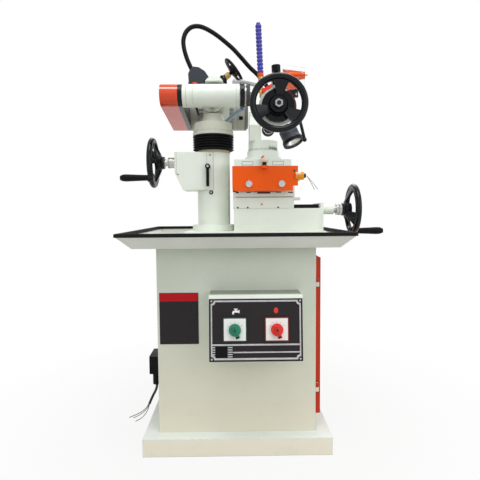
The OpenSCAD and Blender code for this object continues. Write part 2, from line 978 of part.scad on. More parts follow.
module switch_knob(x, turn) on_front(x, switch_up) translate([0, -panel_t - switch_plate_t - gap, 0]) {
    rod_y(knob_disc_r, -knob_disc_t, 0);
    rotate([0, -turn, 0])
        block([-knob_tail_l, -knob_bar_t, -knob_bar_w / 2], [knob_bar_l, 0, knob_bar_w / 2]);
    rod_y(switch_bore_r, -gap, knob_stem_l);
}

module coolant_switch_knob() color("seagreen") switch_knob(switch_mid_x - switch_pitch / 2, green_turn);
module motor_switch_knob() color("red") switch_knob(switch_mid_x + switch_pitch / 2, red_turn);

module junction_box() color("black") {
    x0 = -cabinet_r - junction_w;
    difference() {
        block([x0, junction_y - junction_d / 2, junction_z],
            [-cabinet_r, junction_y + junction_d / 2, junction_z + junction_h]);
        block([x0 + junction_wall, junction_y - junction_d / 2 + junction_wall,
            junction_z + junction_wall],
            [-cabinet_r - junction_wall, junction_y + junction_d / 2 - junction_wall,
                junction_z + junction_h - junction_wall]);
    }
    translate([gland_x, junction_y, 0]) difference() {
        union() {
            rod_z(gland_nut_r, junction_z - gland_nut_h, junction_z);
            rod_z(gland_r, gland_tip_z, junction_z);
        }
        rod_z(gland_bore, gland_tip_z - over, junction_z - gland_nut_h);
    }
}

module mains_lead() color("dimgray") {
    swept(spline(lead_route, lead_steps), lead_r, lead_sides, [0, 1, 0]);
    for (shape = [core_shape_a, core_shape_b, core_shape_c])
        swept(spline([for (p = shape) lead_end + p], lead_steps), core_r, core_sides, [0, 1, 0]);
}

// Column with its gearbox bracket, bored for the quill and the lifting shaft
module column() color("ghostwhite") difference() {
    union() {
        translate([column_x, column_y, 0]) {
            rod_z(flange_d / 2, bed_top, bed_top + flange_t);
            rod_z(column_d / 2, bed_top, column_top);
            rod_z(lip_r, column_top, column_top + lip_h);
        }
        prism_y(column_y - bracket_half, column_y + bracket_half) polygon([
            [column_x, bracket_z0], [bracket_x0 + bracket_cut_x, bracket_z0],
            [bracket_x0, bracket_z0 + bracket_cut_z], [bracket_x0, column_top - bracket_drop],
            [column_x, column_top - bracket_drop]
        ]);
        translate([0, column_y, lift_z]) rod_x(lift_boss_r, bracket_x0 - lift_boss_l, bracket_x0);
    }
    translate([column_x, column_y, 0]) {
        rod_z(quill_r + fit, bed_top + well_floor, column_top + lip_h + over);
        rod_z(screw_foot_r + fit, bed_top + well_floor - screw_seat, bed_top + well_floor + over);
    }
    translate([0, column_y, lift_z]) rod_x(shaft_r + fit, bracket_x0 - lift_boss_l - over, column_x);
    translate([clamp_x, 0, clamp_z])
        rod_y(stud_r + fit, column_y - bracket_half - over, column_y - bracket_half + stud_in + over);
    block([slide_x - gap, column_y - flange_d, bed_top - over],
        [column_x + flange_d, column_y + flange_d, bed_top + flange_t + over]);
}

module column_lever() color("black") translate([clamp_x, 0, clamp_z]) {
    face = column_y - bracket_half - gap;
    rod_y(lever_hub_r, face - lever_hub_l, face);
    rod_y(stud_r, face - over, face + stud_in);
    block([-lever_w / 2, face - lever_hub_l, -lever_l], [lever_w / 2, face - lever_hub_l + lever_t, 0]);
}

// Quill with its swivel base on top, slotted for the lifting shaft
module quill() color("lightsteelblue") translate([column_x, column_y, 0]) difference() {
    union() {
        rod_z(quill_r, swivel_z - quill_drop - bellows_h, swivel_z);
        rod_z(swivel_low_r, swivel_z, swivel_z + swivel_step);
        rod_z(swivel_r, swivel_z + swivel_step, swivel_z + swivel_t);
    }
    rod_z(quill_in_r, swivel_z - quill_drop - bellows_h - over, nut_z0);
    rod_z(screw_r + fit, nut_z0 - over, nut_z0 + nut_h + over);
    rod_z(screw_way_r, nut_z0 + nut_h, swivel_z + swivel_t + over);
    block([-quill_d, -shaft_slot_half, swivel_z - quill_drop - bellows_h - over],
        [0, shaft_slot_half, lift_z + shaft_slot_half]);
}

module bellows() color("black") translate([column_x, column_y, bellows_z]) {
    step = bellows_h / bellows_pleats;
    out = bellows_d / 2;
    outer = [for (i = [0:bellows_pleats - 1]) for (h = [0, 1])
        [h == 0 ? out - bellows_deep : out, (i + h / 2) * step]];
    inner = [for (i = [bellows_pleats - 1:-1:0]) for (h = [1, 0])
        [(h == 0 ? out - bellows_deep : out) - bellows_wall, (i + h / 2) * step]];
    rotate_extrude() polygon(concat(
        outer, [[out - bellows_deep, bellows_h], [out - bellows_deep - bellows_wall, bellows_h]], inner
    ));
}

module elevating_screw() color("silver") translate([column_x, column_y, 0]) {
    floor_z = bed_top + well_floor;
    rod_z(screw_foot_r, floor_z - screw_seat, floor_z + gap);
    rod_z(screw_head_r, floor_z + gap, floor_z + gap + screw_seat);
    rod_z(screw_r, floor_z + gap, screw_top);
    translate([0, 0, lift_z - bevel_r])
        cylinder(r1 = bevel_r, r2 = bevel_nose, h = bevel_t);
}

module elevation_shaft() color("silver") translate([0, column_y, lift_z]) {
    rod_x(shaft_r, lift_hub_x - hub_l, column_x - bevel_r + over);
    rod_x(lift_sleeve_r, lift_hub_x, lift_hub_x + lift_dial_l / 3 + over);
    rod_x(lift_dial_r, lift_hub_x + lift_dial_l / 3, lift_hub_x + lift_dial_l);
    translate([column_x - bevel_r, 0, 0]) rotate([0, 90, 0])
        cylinder(r1 = bevel_r - over, r2 = bevel_r - bevel_t + over, h = bevel_t - 2 * over);
}

// Turns the wheel's own axis to minus X at the lifting shaft
module at_lift() translate([lift_hub_x, column_y, lift_z]) rotate([0, -90, 0])
    rotate(lift_turn) children();

module elevation_handwheel() color("black") at_lift() {
    hand_wheel(wheel_d, rim_d, hub_d, hub_l, hub_bore, rim_dish, web_t, spoke_gap_half);
    grip_pin();
}

module elevation_grip() color("black") at_lift() grip();

// Wheelhead
module swivel_block() color("ghostwhite") difference() {
    union() {
        translate([column_x, column_y, 0]) {
            rod_z(plate_r, block_z, block_z + plate_t);
            translate([0, 0, block_z + plate_t - over])
                cylinder(r1 = neck_low_r, r2 = neck_top_r, h = neck_h);
        }
        block([column_x - block_half_w, column_y + block_y0, block_z],
            [column_x + block_half_w, column_y + block_y1, tilt_z]);
        translate([column_x, 0, tilt_z]) rod_y(block_head_r, column_y + block_y0, column_y + block_y1);
    }
    translate([column_x, 0, tilt_z])
        rod_y(tilt_pin_r + fit, column_y + block_y0 - over, column_y + block_y1 + over);
    translate([column_x, column_y, 0]) rod_z(screw_way_r, block_z - over, screw_top + screw_room);
}

module spindle_housing() color("ghostwhite") {
    face = column_y + block_y0 - gap;
    difference() {
        union() {
            translate([0, spindle_y, spindle_z]) rod_x(housing_r, housing_x0, housing_x1);
            translate([column_x, 0, tilt_z]) rod_y(boss_r, face - boss_t, face);
        }
        translate([0, spindle_y, spindle_z]) {
            rod_x(core_bore_r, housing_x0 - over, housing_x1 + over);
            rod_x(bearing_r + fit, housing_x0 - over, housing_x0 + bearing_in + bearing_w + gap);
            rod_x(bearing_r + fit, housing_x1 - bearing_in - bearing_w - gap, housing_x1 + over);
            translate([housing_x0 + housing_seam, 0, 0]) rotate([0, 90, 0]) difference() {
                cylinder(r = housing_r + over, h = seam_w);
                translate([0, 0, -over]) cylinder(r = housing_r - seam_d, h = seam_w + 2 * over);
            }
        }
    }
    translate([column_x, 0, tilt_z]) rod_y(tilt_pin_r, face, column_y + block_y1 + over);
}

// Black collar in front and black plate between housing and guard
module head_covers() color("black") {
    translate([0, spindle_y, spindle_z]) difference() {
        rod_x(collar_r, housing_x1, housing_x1 + collar_t);
        rod_x(collar_bore, housing_x1 - over, housing_x1 + collar_t + over);
    }
    translate([0, spindle_y, spindle_z]) difference() {
        prism_x(guard_x1, housing_x0) loop_2d(guard_front_r, guard_rear_r, motor_back);
        rod_x(guard_hole_r, guard_x1 - over, housing_x0 + over);
        translate([0, motor_back, 0]) rod_x(guard_hole_r, guard_x1 - over, housing_x0 + over);
    }
}

module belt_guard() color("darkorange") translate([0, spindle_y, spindle_z]) difference() {
    prism_x(guard_x0, guard_x1) loop_2d(guard_front_r, guard_rear_r, motor_back);
    prism_x(guard_x0 + guard_wall, guard_x1 + over)
        loop_2d(guard_front_r - guard_wall, guard_rear_r - guard_wall, motor_back);
}

// Grooved pulley about X, bored for its shaft by the node itself
module pulley(r) {
    rod_x(r - belt_clear, pulley_x0, pulley_x0 + pulley_w);
    rod_x(r + pulley_lip, pulley_x0, pulley_x0 + pulley_lip_t);
    rod_x(r + pulley_lip, pulley_x0 + pulley_w - pulley_lip_t, pulley_x0 + pulley_w);
}

module drive_belt() color("dimgray") translate([0, spindle_y, spindle_z]) difference() {
    a = pulley_x0 + pulley_lip_t + belt_clear;
    b = pulley_x0 + pulley_w - pulley_lip_t - belt_clear;
    prism_x(a, b) loop_2d(spindle_pulley_r + belt_t, motor_pulley_r + belt_t, motor_back);
    prism_x(a - over, b + over) loop_2d(spindle_pulley_r, motor_pulley_r, motor_back);
}

module bearing(x) difference() {
    rod_x(bearing_r, x, x + bearing_w);
    rod_x(spindle_r, x - over, x + bearing_w + over);
}

module spindle() color("silver") translate([0, spindle_y, spindle_z]) {
    nose = housing_x1 + collar_t + nose_flange_gap;
    stone_end = nose + nose_flange_t + stone_w;
    rod_x(spindle_r, pulley_x0 - over, stone_end + nose_nut_t);
    bearing(housing_x0 + bearing_in);
    bearing(housing_x1 - bearing_in - bearing_w);
    pulley(spindle_pulley_r);
    rod_x(nose_flange_r, nose, nose + nose_flange_t);
    translate([stone_end, 0, 0]) rotate([0, 90, 0]) cylinder(r = nose_nut_r, h = nose_nut_t, $fn = six);
}

module grinding_wheel() color("dimgray") translate([0, spindle_y, spindle_z]) difference() {
    x = housing_x1 + collar_t + nose_flange_gap + nose_flange_t;
    rod_x(stone_r, x, x + stone_w);
    rod_x(spindle_r, x - over, x + stone_w + over);
}

module motor() color("slategray") translate([0, motor_y, spindle_z]) difference() {
    core_r = motor_r * motor_core;
    cowl = motor_l - motor_cowl_l;
    union() {
        translate([motor_x0, 0, 0]) rotate([0, 90, 0]) rotate_extrude() polygon([
            [0, 0], [motor_r, 0], [motor_r, motor_bell_l], [core_r, motor_bell_l],
            [core_r, cowl], [motor_r, cowl], [motor_r, motor_l - motor_cowl_cut],
            [motor_r - motor_cowl_cut, motor_l], [0, motor_l]
        ]);
        for (k = [0:motor_fins - 1]) rotate([360 * k / motor_fins, 0, 0])
            block([motor_x0 + motor_bell_l - over, -motor_fin_t / 2, core_r - over],
                [motor_x0 + cowl + over, motor_fin_t / 2, motor_r - motor_fin_in]);
        block([arm_x0 + arm_end_t, -motor_r - arm_end_t, -motor_foot_h / 2],
            [arm_x1 - arm_end_t, 0, motor_foot_h / 2]);
        block([arm_x0, 0, core_r - over], [arm_x0 + terminal_w, terminal_d, core_r + terminal_h]);
    }
    rod_x(motor_shaft_r + fit, motor_x0 - over, motor_x0 + motor_shaft_in);
}

module motor_rotor() color("silver") translate([0, motor_y, spindle_z]) {
    rod_x(motor_shaft_r, pulley_x0 - over, motor_x0 + motor_shaft_in - over);
    pulley(motor_pulley_r);
}

// Arm from the spindle housing back to the motor, with the tension post
module motor_arm() color("ghostwhite") {
    back = motor_y - motor_r - arm_end_t;
    difference() {
        prism_x(arm_x0, arm_x1) polygon([
            [spindle_y, arm_z0], [spindle_y, spindle_z + housing_r - arm_sink],
            [lamp_y - lamp_d / 2 - over, arm_top], [back, arm_top],
            [back, spindle_z - motor_foot_h / 2], [back - arm_end_t, spindle_z - motor_foot_h / 2],
            [back - arm_end_t, arm_z0]
        ]);
        translate([0, spindle_y, spindle_z]) rod_x(housing_r, arm_x0 - over, arm_x1 + over);
    }
    intersection() {
        translate([hump_x, 0, hump_z]) rod_y(hump_r, hump_y0, hump_y0 + hump_l);
        block([hump_x - hump_r, hump_y0 - over, arm_top - over],
            [hump_x + hump_r, hump_y0 + hump_l + over, arm_top + hump_r]);
    }
    translate([tension_x - tension_post_r, tension_y, 0])
        rod_z(tension_post_r, arm_top - over, tension_z);
    translate([tension_x, tension_y, tension_z]) rotate([0, tension_tilt, 0]) difference() {
        rod_z(tension_boss_r, -tension_post_r, tension_boss_l);
        rod_z(tension_stem_r + fit, 0, tension_boss_l + over);
    }
}

module tension_handwheel() color("black")
    translate([tension_x, tension_y, tension_z]) rotate([0, tension_tilt, 0]) {
        hub_z = tension_boss_l + tension_stem_l - tension_hub_l;
        rod_z(tension_stem_r, over, tension_boss_l + tension_stem_l);
        translate([0, 0, hub_z]) hand_wheel(
            tension_wheel_d, tension_rim_d, tension_hub_d, tension_hub_l, tension_stem_r - over,
            tension_dish, tension_web, spoke_gap_half
        );
    }

module lamp_base() color("slategray") {
    block([lamp_x0, lamp_y - lamp_d / 2, arm_top],
        [lamp_x0 + lamp_plate_l, lamp_y + lamp_d / 2, arm_top + lamp_plate_t]);
    tall = lamp_h + lamp_plate_t - lamp_in;
    prism_y(lamp_y - lamp_d / 2, lamp_y + lamp_d / 2) polygon([
        for (s = lamp_shares) [lamp_x0 + s[0] * lamp_w, arm_top + lamp_in + s[1] * tall]
    ]);
}

module gooseneck() color("black") swept(spline(neck_route, neck_steps), neck_r, neck_sides, [0, 1, 0]);

// Lamp axis from its back towards the lens
module at_lamp() translate(lamp_back) rotate([0, 0, lamp_spin]) rotate([0, lamp_lean, 0]) children();

module lamp_head() color("slategray") at_lamp() rotate_extrude() polygon([
    [0, 0], [lamp_tail_r, 0], [lamp_can_r, lamp_shoulder], [lamp_can_r, lamp_l - 2 * lamp_rim_l],
    [lamp_rim_r, lamp_l - lamp_rim_l], [lamp_rim_r, lamp_l], [lens_r, lamp_l],
    [lens_r, lamp_l - lamp_rim_l], [lamp_cup_r, lamp_cup], [0, lamp_cup]
]);

module lamp_lens() color("lightyellow") at_lamp()
    rod_z(lens_r, lamp_l - lens_in - lens_t, lamp_l - lens_in);

// Coolant bracket on the housing with valve body, hose pipe and shield rod
module coolant_valve() color("goldenrod") translate([0, spindle_y, spindle_z]) {
    step_z = housing_r + strip_up;
    difference() {
        prism_y(-strip_d / 2, strip_d / 2) polygon([
            [strip_x0, housing_r - strip_sink], [strip_x0 + strip_foot_l, housing_r - strip_sink],
            [strip_x0 + strip_foot_l, step_z], [strip_x0 + strip_step, step_z],
            [valve_x - valve_half, step_z - strip_fall - gap],
                [valve_x - valve_half, step_z - strip_fall + strip_t],
            [strip_x0 + strip_step, step_z + strip_high - strip_up],
                [strip_x0, step_z + strip_high - strip_up]
        ]);
        rod_x(housing_r, strip_x0 - over, strip_x0 + strip_step);
    }
    block([valve_x - valve_half, -valve_d, valve_rise - valve_low],
        [valve_x + valve_half, valve_d, valve_rise + valve_high]);
    block([valve_x - valve_half, -strip_d / 2, valve_rise],
        [valve_x - valve_half + pipe_r, strip_d / 2, step_z - strip_fall + strip_t]);
    translate([hose_x, 0, 0])
        rod_z(pipe_r, valve_rise + valve_high - over, valve_rise + valve_high + pipe_l);
    translate([0, 0, shield_low_rise]) rod_x(shield_rod_r, hose_x, shield_post_x + shield_rod_r);
    translate([shield_post_x, 0, 0])
        rod_z(shield_rod_r, shield_low_rise - shield_rod_r, shield_rise + shield_rod_r);
    translate([0, 0, shield_rise]) rod_x(shield_rod_r, shield_post_x - shield_rod_r, shield_rod_x1);
}

module valve_lever() color("red")
    translate([valve_x - valve_lever_x, spindle_y - valve_d - gap, valve_z + valve_lever_up]) {
        rod_y(valve_lever_hub, -valve_lever_t, 0);
        rotate([0, -valve_lever_turn, 0])
            block([0, lever_in - valve_lever_t, -valve_lever_w / 2],
                [valve_lever_l, -lever_in, valve_lever_w / 2]);
    }

// Foot ring and jointed hose in one profile, with the bore right through
module coolant_hose() color("slateblue")
    translate([hose_x, spindle_y, valve_z + valve_high + pipe_l]) rotate([0, hose_lean, 0]) {
        bulb = [for (i = [0:hose_segments - 1]) for (s = bulb_shares)
            [s[1] == 0 ? hose_neck_r : hose_r, ring_l + (i + s[0]) * hose_pitch]];
        top = ring_l + hose_segments * hose_pitch;
        rotate_extrude() polygon(concat(
            [[hose_bore_r, 0], [ring_r, 0], [ring_r, ring_l]], bulb,
            [[hose_neck_r, top], [hose_tip_r, top + hose_tip_l], [hose_bore_r, top + hose_tip_l]]
        ));
    }

module head_lines() color("lightsteelblue") {
    swept(spline(tube_route, line_steps), tube_r, tube_sides, [0, 0, 1]);
    swept(spline(line_route, line_steps), line_r, line_sides, [0, 0, 1]);
}

// Frame on the shield rod with the clear pane on its front
module eye_shield() color("orange") translate([shield_x0, spindle_y, shield_rod_z]) {
    face = -frame_t / 2;
    difference() {
        union() {
            prism_y(face, -face) polygon(frame_shape);
            rod_x(sleeve_r, 0, shield_w);
        }
        rod_x(shield_rod_r + fit, -over, shield_w + over);
    }
    difference() {
        prism_y(face - shield_t, face) polygon([
            [over, -shield_low], [shield_w - over, -shield_low],
            [shield_w - over, shield_high_right], [over, shield_high_left]
        ]);
        rod_x(sleeve_r, -over, shield_w + over);
    }
}

// Bed and slide base in one casting, channel for the cross screw, end plate with its boss
module slide_base() color("ghostwhite") difference() {
    union() {
        block([bed_x0, bed_y0, bed_z], [bed_x1, bed_y1, bed_top]);
        block([slide_x, slide_y0, bed_top], [slide_x1, slide_y1, slide_top]);
        block([slide_x1, cross_y - end_half, bed_top],
            [slide_x1 + end_t, cross_y + end_half, bed_top + end_h]);
        translate([0, cross_y, cross_z])
            rod_x(cross_boss_r, slide_x1 + end_t, slide_x1 + end_t + cross_boss_l);
    }
    block([slide_x + channel_x0, slide_y - channel_half, slide_top - channel_deep],
        [slide_x1, slide_y + channel_half, slide_top + over]);
    translate([0, cross_y, cross_z])
        rod_x(cross_screw_r + fit, slide_x1 - over, slide_x1 + end_t + cross_boss_l + over);
}

module way_cover() color("black") difference() {
    block([cover_x0, slide_y - cover_half, slide_top],
        [slide_x1, slide_y + cover_half, slide_top + cover_h]);
    block([cover_x0 - over, slide_y - cover_half + cover_lip, slide_top - over],
        [slide_x1 - cover_t, slide_y + cover_half - cover_lip, slide_top + cover_h - cover_t]);
    translate([0, cross_y, cross_z]) rod_x(cross_screw_r + gap, slide_x1 - cover_t - over, slide_x1 + over);
    for (k = [1:cover_ribs]) let (x = cover_x0 + k * (slide_x1 - cover_x0) / (cover_ribs + 1))
        block([x - cover_rib_d, slide_y - cover_half - over, slide_top + cover_h - cover_rib_d],
            [x + cover_rib_d, slide_y + cover_half + over, slide_top + cover_h + over]);
}

module cross_screw() color("silver") translate([0, cross_y, cross_z]) {
    boss_end = slide_x1 + end_t + cross_boss_l + gap;
    rod_x(cross_screw_r, slide_x + channel_x0 + cross_screw_in, cross_hub_x + hub_l);
    rod_x(cross_sleeve_r, boss_end, boss_end + cross_dial_l / 3);
    rod_x(cross_dial_r, boss_end + cross_dial_l / 3, cross_hub_x);
}

// Turns the wheel's own axis to plus X at the cross screw
module at_cross() translate([cross_hub_x, cross_y, cross_z]) rotate([0, 90, 0]) children();

module cross_handwheel() color("black") at_cross() {
    hand_wheel(wheel_d, rim_d, hub_d, hub_l, cross_screw_r, rim_dish, web_t, spoke_gap_half);
    grip_pin();
}

module cross_grip() color("black") at_cross() grip();

module saddle() color("gainsboro") {
    x1 = saddle_x + saddle_l;
    seam = saddle_z + saddle_seam_z;
    difference() {
        union() {
            block([saddle_x, slide_y0, saddle_z], [x1, slide_y1, saddle_top]);
            block([saddle_x + channel_x0 + cover_gap + over, slide_y - channel_half + gap,
                slide_top - key_deep],
                [saddle_x + channel_x0 + key_l, slide_y + channel_half - gap, saddle_z]);
            block([guide_x0, guide_y0, saddle_top], [guide_x1, guide_y1, guide_top]);
        }
        block([x1 - tunnel_l, slide_y - cover_half - tunnel_gap, saddle_z - over],
            [x1 + over, slide_y + cover_half + tunnel_gap, slide_top + cover_h + tunnel_gap]);
        translate([0, cross_y, cross_z]) rod_x(cross_screw_r + fit, saddle_x - over, x1 + over);
        for (s = [-1, 1]) translate([rod_mid + s * rod_pitch / 2, 0, saddle_top + rod_up])
            rod_y(rod_d / 2 + fit, guide_y0 - over, guide_y1 + over);
        difference() {
            block([saddle_x - over, slide_y0 - over, seam], [x1 + over, slide_y1 + over, seam + seam_w]);
            block([saddle_x + seam_d, slide_y0 + seam_d, seam - over],
                [x1 - seam_d, slide_y1 - seam_d, seam + seam_w + over]);
        }
    }
    block([x1, stop_y0, saddle_top - stop_low], [x1 + stop_t, stop_y0 + stop_d, saddle_top + stop_high]);
    block([x1 + stop_t, stop_y0, saddle_top - stop_low],
        [x1 + stop_w, stop_y0 + stop_d, saddle_top - stop_low + stop_t]);
    block([x1 + stop_t, stop_y0, saddle_top + stop_high - stop_t],
        [x1 + stop_w, stop_y0 + stop_d, saddle_top + stop_high]);
}

module table_plate() color("silver") difference() {
    block([table_x0, table_y0, table_z], [table_x0 + table_w, table_y0 + table_d, table_top]);
    block([work_x - slot_w / 2, table_y0 - over, table_top - slot_deep],
        [work_x + slot_w / 2, table_y0 + table_d + over, table_top + over]);
}

module end_plate(y) difference() {
    prism_y(y, y + plate_d) polygon([
        [plate_x0, plate_z0 + plate_notch / 2], [plate_x0 + plate_notch / 2, plate_z0],
        [plate_x1 - plate_notch, plate_z0], [plate_x1 - plate_notch, plate_z0 + plate_notch],
        [plate_x1, plate_z0 + plate_notch], [plate_x1, socket_z - socket_r],
            [socket_x0, socket_z - socket_r],
        [socket_x0, socket_z + socket_r], [plate_x1, socket_z + socket_r], [plate_x1, table_z],
            [plate_x0, table_z]
    ]);
    for (s = [-1, 1]) translate([rod_mid + s * rod_pitch / 2, 0, saddle_top + rod_up])
        rod_y(rod_d / 2, y - over, y + plate_d + over);
}

module end_plates() color("darkorange") {
    end_plate(table_y0);
    end_plate(table_y0 + table_d - plate_d);
    difference() {
        block([lock_x - lug_w / 2, table_y0 - lug_d, table_z - lug_h],
            [lock_x + lug_w / 2, table_y0, table_z]);
        translate([lock_x, table_y0 - lug_d / 2, 0])
            rod_z(lock_stud_r + fit, table_z - lock_stud_l - over, table_z + over);
    }
}

module guide_rods() color("silver") for (s = [-1, 1])
    translate([rod_mid + s * rod_pitch / 2, 0, saddle_top + rod_up]) {
        rod_y(rod_d / 2, table_y0, table_y0 + table_d);
        rod_y(cap_r, table_y0 - cap_t, table_y0);
    }

module table_lock_knob() color("red") translate([lock_x, table_y0 - lug_d / 2, table_z]) {
    rod_z(lock_stud_r, -lock_stud_l, gap + over);
    rod_z(lock_collar_r, gap, lock_collar_h);
    translate([0, 0, lock_collar_h + lock_ball_r - over]) sphere(r = lock_ball_r);
}

module side_connector() color("orange") translate([0, socket_y, socket_z]) difference() {
    union() {
        rod_x(socket_r, socket_x0, socket_x0 + socket_l - socket_tip_l);
        rod_x(socket_tip_r, socket_x0 + socket_l - socket_tip_l - over, socket_x0 + socket_l);
    }
    rod_x(socket_bore, socket_x0 + socket_l - wire_in, socket_x0 + socket_l + over);
}

module connector_wires() color("gray") {
    for (shape = [wire_shape_a, wire_shape_b])
        swept(spline([for (p = shape) wire_from + p], wire_steps), wire_r, wire_sides, [0, 1, 0]);
}

// Workhead base: fixed flange with the swivelling ring and arm above it
module workhead_base() color("ghostwhite") {
    foot = table_top + gap;
    z1 = foot + work_flange_t;
    z2 = z1 + work_ring_t;
    translate([work_x, work_y, 0]) {
        rod_z(work_flange_r, foot, z1);
        rod_z(work_ring_r, z1, z2);
        rod_z(work_scale_r, z2, arm_foot_z);
    }
    difference() {
        union() {
            prism_x(work_arm_x0, work_arm_x1) polygon([
                [work_y - work_arm_half, arm_foot_z - over], [work_y + work_arm_half, arm_foot_z - over],
                [work_y + work_arm_half, work_z - work_arm_shoulder], [work_y + work_arm_top_r, work_z],
                [work_y - work_arm_top_r, work_z], [work_y - work_arm_half, work_z - work_arm_shoulder]
            ]);
            translate([0, work_y, work_z]) rod_x(work_arm_top_r, work_arm_x0, work_arm_x1);
        }
        translate([0, work_y, work_z]) rod_x(trunnion_r + fit, work_arm_x0 - over, work_arm_x1 + over);
    }
}

// Turned about the work axis to the plunger
module at_plunger() translate([work_axis_x, 0, work_z]) rotate([0, plunger_turn, 0]) children();

module workhead_body() color("ghostwhite") {
    boss_x0 = work_arm_x1 + gap;
    plunger_y = barrel_y0 - index_gap - index_t / 2;
    plunger_z = index_r + over;
    difference() {
        union() {
            translate([work_axis_x, 0, work_z]) {
                rod_y(barrel_r, barrel_y0, barrel_y1);
                rod_y(nose_r, barrel_y0, barrel_y0 + nose_t);
            }
            translate([0, work_y, work_z]) {
                rod_x(trunnion_boss_r, boss_x0, work_axis_x);
                rod_x(trunnion_r, work_arm_x0, boss_x0 + over);
                rod_x(clamp_boss_r, work_axis_x - over, clamp_boss_x);
            }
            at_plunger() prism_x(-plunger_half, plunger_half) polygon([
                [plunger_y - plunger_half, plunger_z], [barrel_y0 + over, plunger_z],
                [barrel_y0 + over, barrel_r], [barrel_y0 + nose_t - over, barrel_r],
                [barrel_y0 + nose_t - over, plunger_z + plunger_high],
                [plunger_y - plunger_half, plunger_z + plunger_high]
            ]);
            block([knob_x - knob_lug_half, knob_lug_y0, knob_z - knob_lug_half],
                [knob_x + knob_lug_half, knob_lug_y1, work_z - barrel_r / 2]);
        }
        translate([work_axis_x, 0, work_z])
            rod_y(work_spindle_r + fit, barrel_y0 - over, barrel_y1 + over);
        at_plunger() translate([0, plunger_y, 0])
            rod_z(plunger_r + fit, plunger_z - over, plunger_z + plunger_high + over);
        translate([knob_x, 0, knob_z])
            rod_y(knob_stud_r + fit, knob_lug_y0 - over, knob_lug_y0 + knob_stud_l + over);
        translate([0, work_y, work_z])
            rod_x(clamp_thread_r + fit, clamp_boss_x - clamp_thread_l - over, clamp_boss_x + over);
    }
}

// Work spindle with the notched index plate on its front
module work_spindle() color("silver") translate([work_axis_x, 0, work_z]) {
    index_y1 = barrel_y0 - index_gap;
    index_y0 = index_y1 - index_t;
    hub_y = index_y0 - wheel_gap;
    difference() {
        union() {
            rod_y(work_spindle_r, index_y0, barrel_y1);
            rod_y(work_spindle_r - over, hub_y - work_hub_l, index_y0);
            rod_y(index_r, index_y0, index_y1);
            translate([0, hub_y - work_hub_l, 0]) rotate([90, 0, 0])
                cylinder(r = nut_r, h = nut_t, $fn = six);
        }
        rod_y(work_bore_d / 2, barrel_y1 - work_bore_l, barrel_y1 + over);
        for (k = [0:index_n - 1]) rotate([0, plunger_turn + 360 * k / index_n, 0])
            translate([0, (index_y0 + index_y1) / 2, 0])
            rod_z(notch_r, index_r - notch_deep, index_r + over);
    }
}

module work_handwheel() color("black")
    translate([work_axis_x, barrel_y0 - index_gap - index_t - wheel_gap, work_z]) rotate([90, 0, 0])
        rotate(work_turn) hand_wheel(
            wheel_d, rim_d, work_hub_d, work_hub_l, work_spindle_r - over, work_dish, work_web_t,
                work_gap_half
        );

module index_plunger() color("black") at_plunger()
    translate([0, barrel_y0 - index_gap - index_t / 2, 0]) {
    z = index_r + over;
    shank_z = index_r + plunger_travel + 2 * gap;
    rod_z(plunger_tip_r, index_r + gap, shank_z + over);
    rod_z(plunger_r, shank_z, z + plunger_high + plunger_knob_z + over);
    rod_z(plunger_knob_r, z + plunger_high + plunger_knob_z,
        z + plunger_high + plunger_knob_z + plunger_knob_h);
}

module tilt_lever() color("black") translate([clamp_boss_x + gap, work_y, work_z]) {
    rod_x(tilt_hub_r, 0, tilt_hub_l);
    rod_x(clamp_thread_r, -clamp_thread_l, over);
    translate([tilt_hub_l / 2, 0, 0]) rotate([0, 180 - tilt_lean, 0]) {
        rod_z(tilt_lever_r, 0, tilt_lever_l);
        translate([0, 0, tilt_lever_l]) sphere(r = tilt_ball_r);
    }
}

module lock_knob() color("black") translate([knob_x, knob_lug_y0 - gap, knob_z]) {
    rod_y(knob_r, -knob_l, 0);
    rod_y(knob_stud_r, -over, knob_stud_l);
}

plinth();
cabinet();
tray();
tray_edging();
slide_base();
column();
way_cover();
control_box();
front_plates();
switch_plates();
junction_box();
mains_lead();
coolant_pump();
door();
quill();
bellows();
elevating_screw();
elevation_shaft();
elevation_handwheel();
elevation_grip();
swivel_block();
spindle_housing();
head_covers();
motor_arm();
motor();
belt_guard();
lamp_base();
gooseneck();
lamp_head();
lamp_lens();
coolant_valve();
coolant_hose();
head_lines();
drive_belt();
valve_lever();
eye_shield();
tension_handwheel();
spindle();
grinding_wheel();
motor_rotor();
saddle();
cross_screw();
cross_handwheel();
cross_grip();
table_plate();
end_plates();
guide_rods();
side_connector();
connector_wires();
table_lock_knob();
workhead_base();
workhead_body();
work_spindle();
work_handwheel();
index_plunger();
tilt_lever();
lock_knob();
column_lever();
coolant_switch_knob();
motor_switch_knob();
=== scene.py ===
# %% [markdown]
# This lesson dresses a tool and cutter grinder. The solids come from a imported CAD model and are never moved.
# Everything here is added around them: a camera, light, finishes and the small pieces that solids leave plain.

# %% Load the machine
import math

import bmesh
import bpy
import numpy as np
from mathutils import Matrix


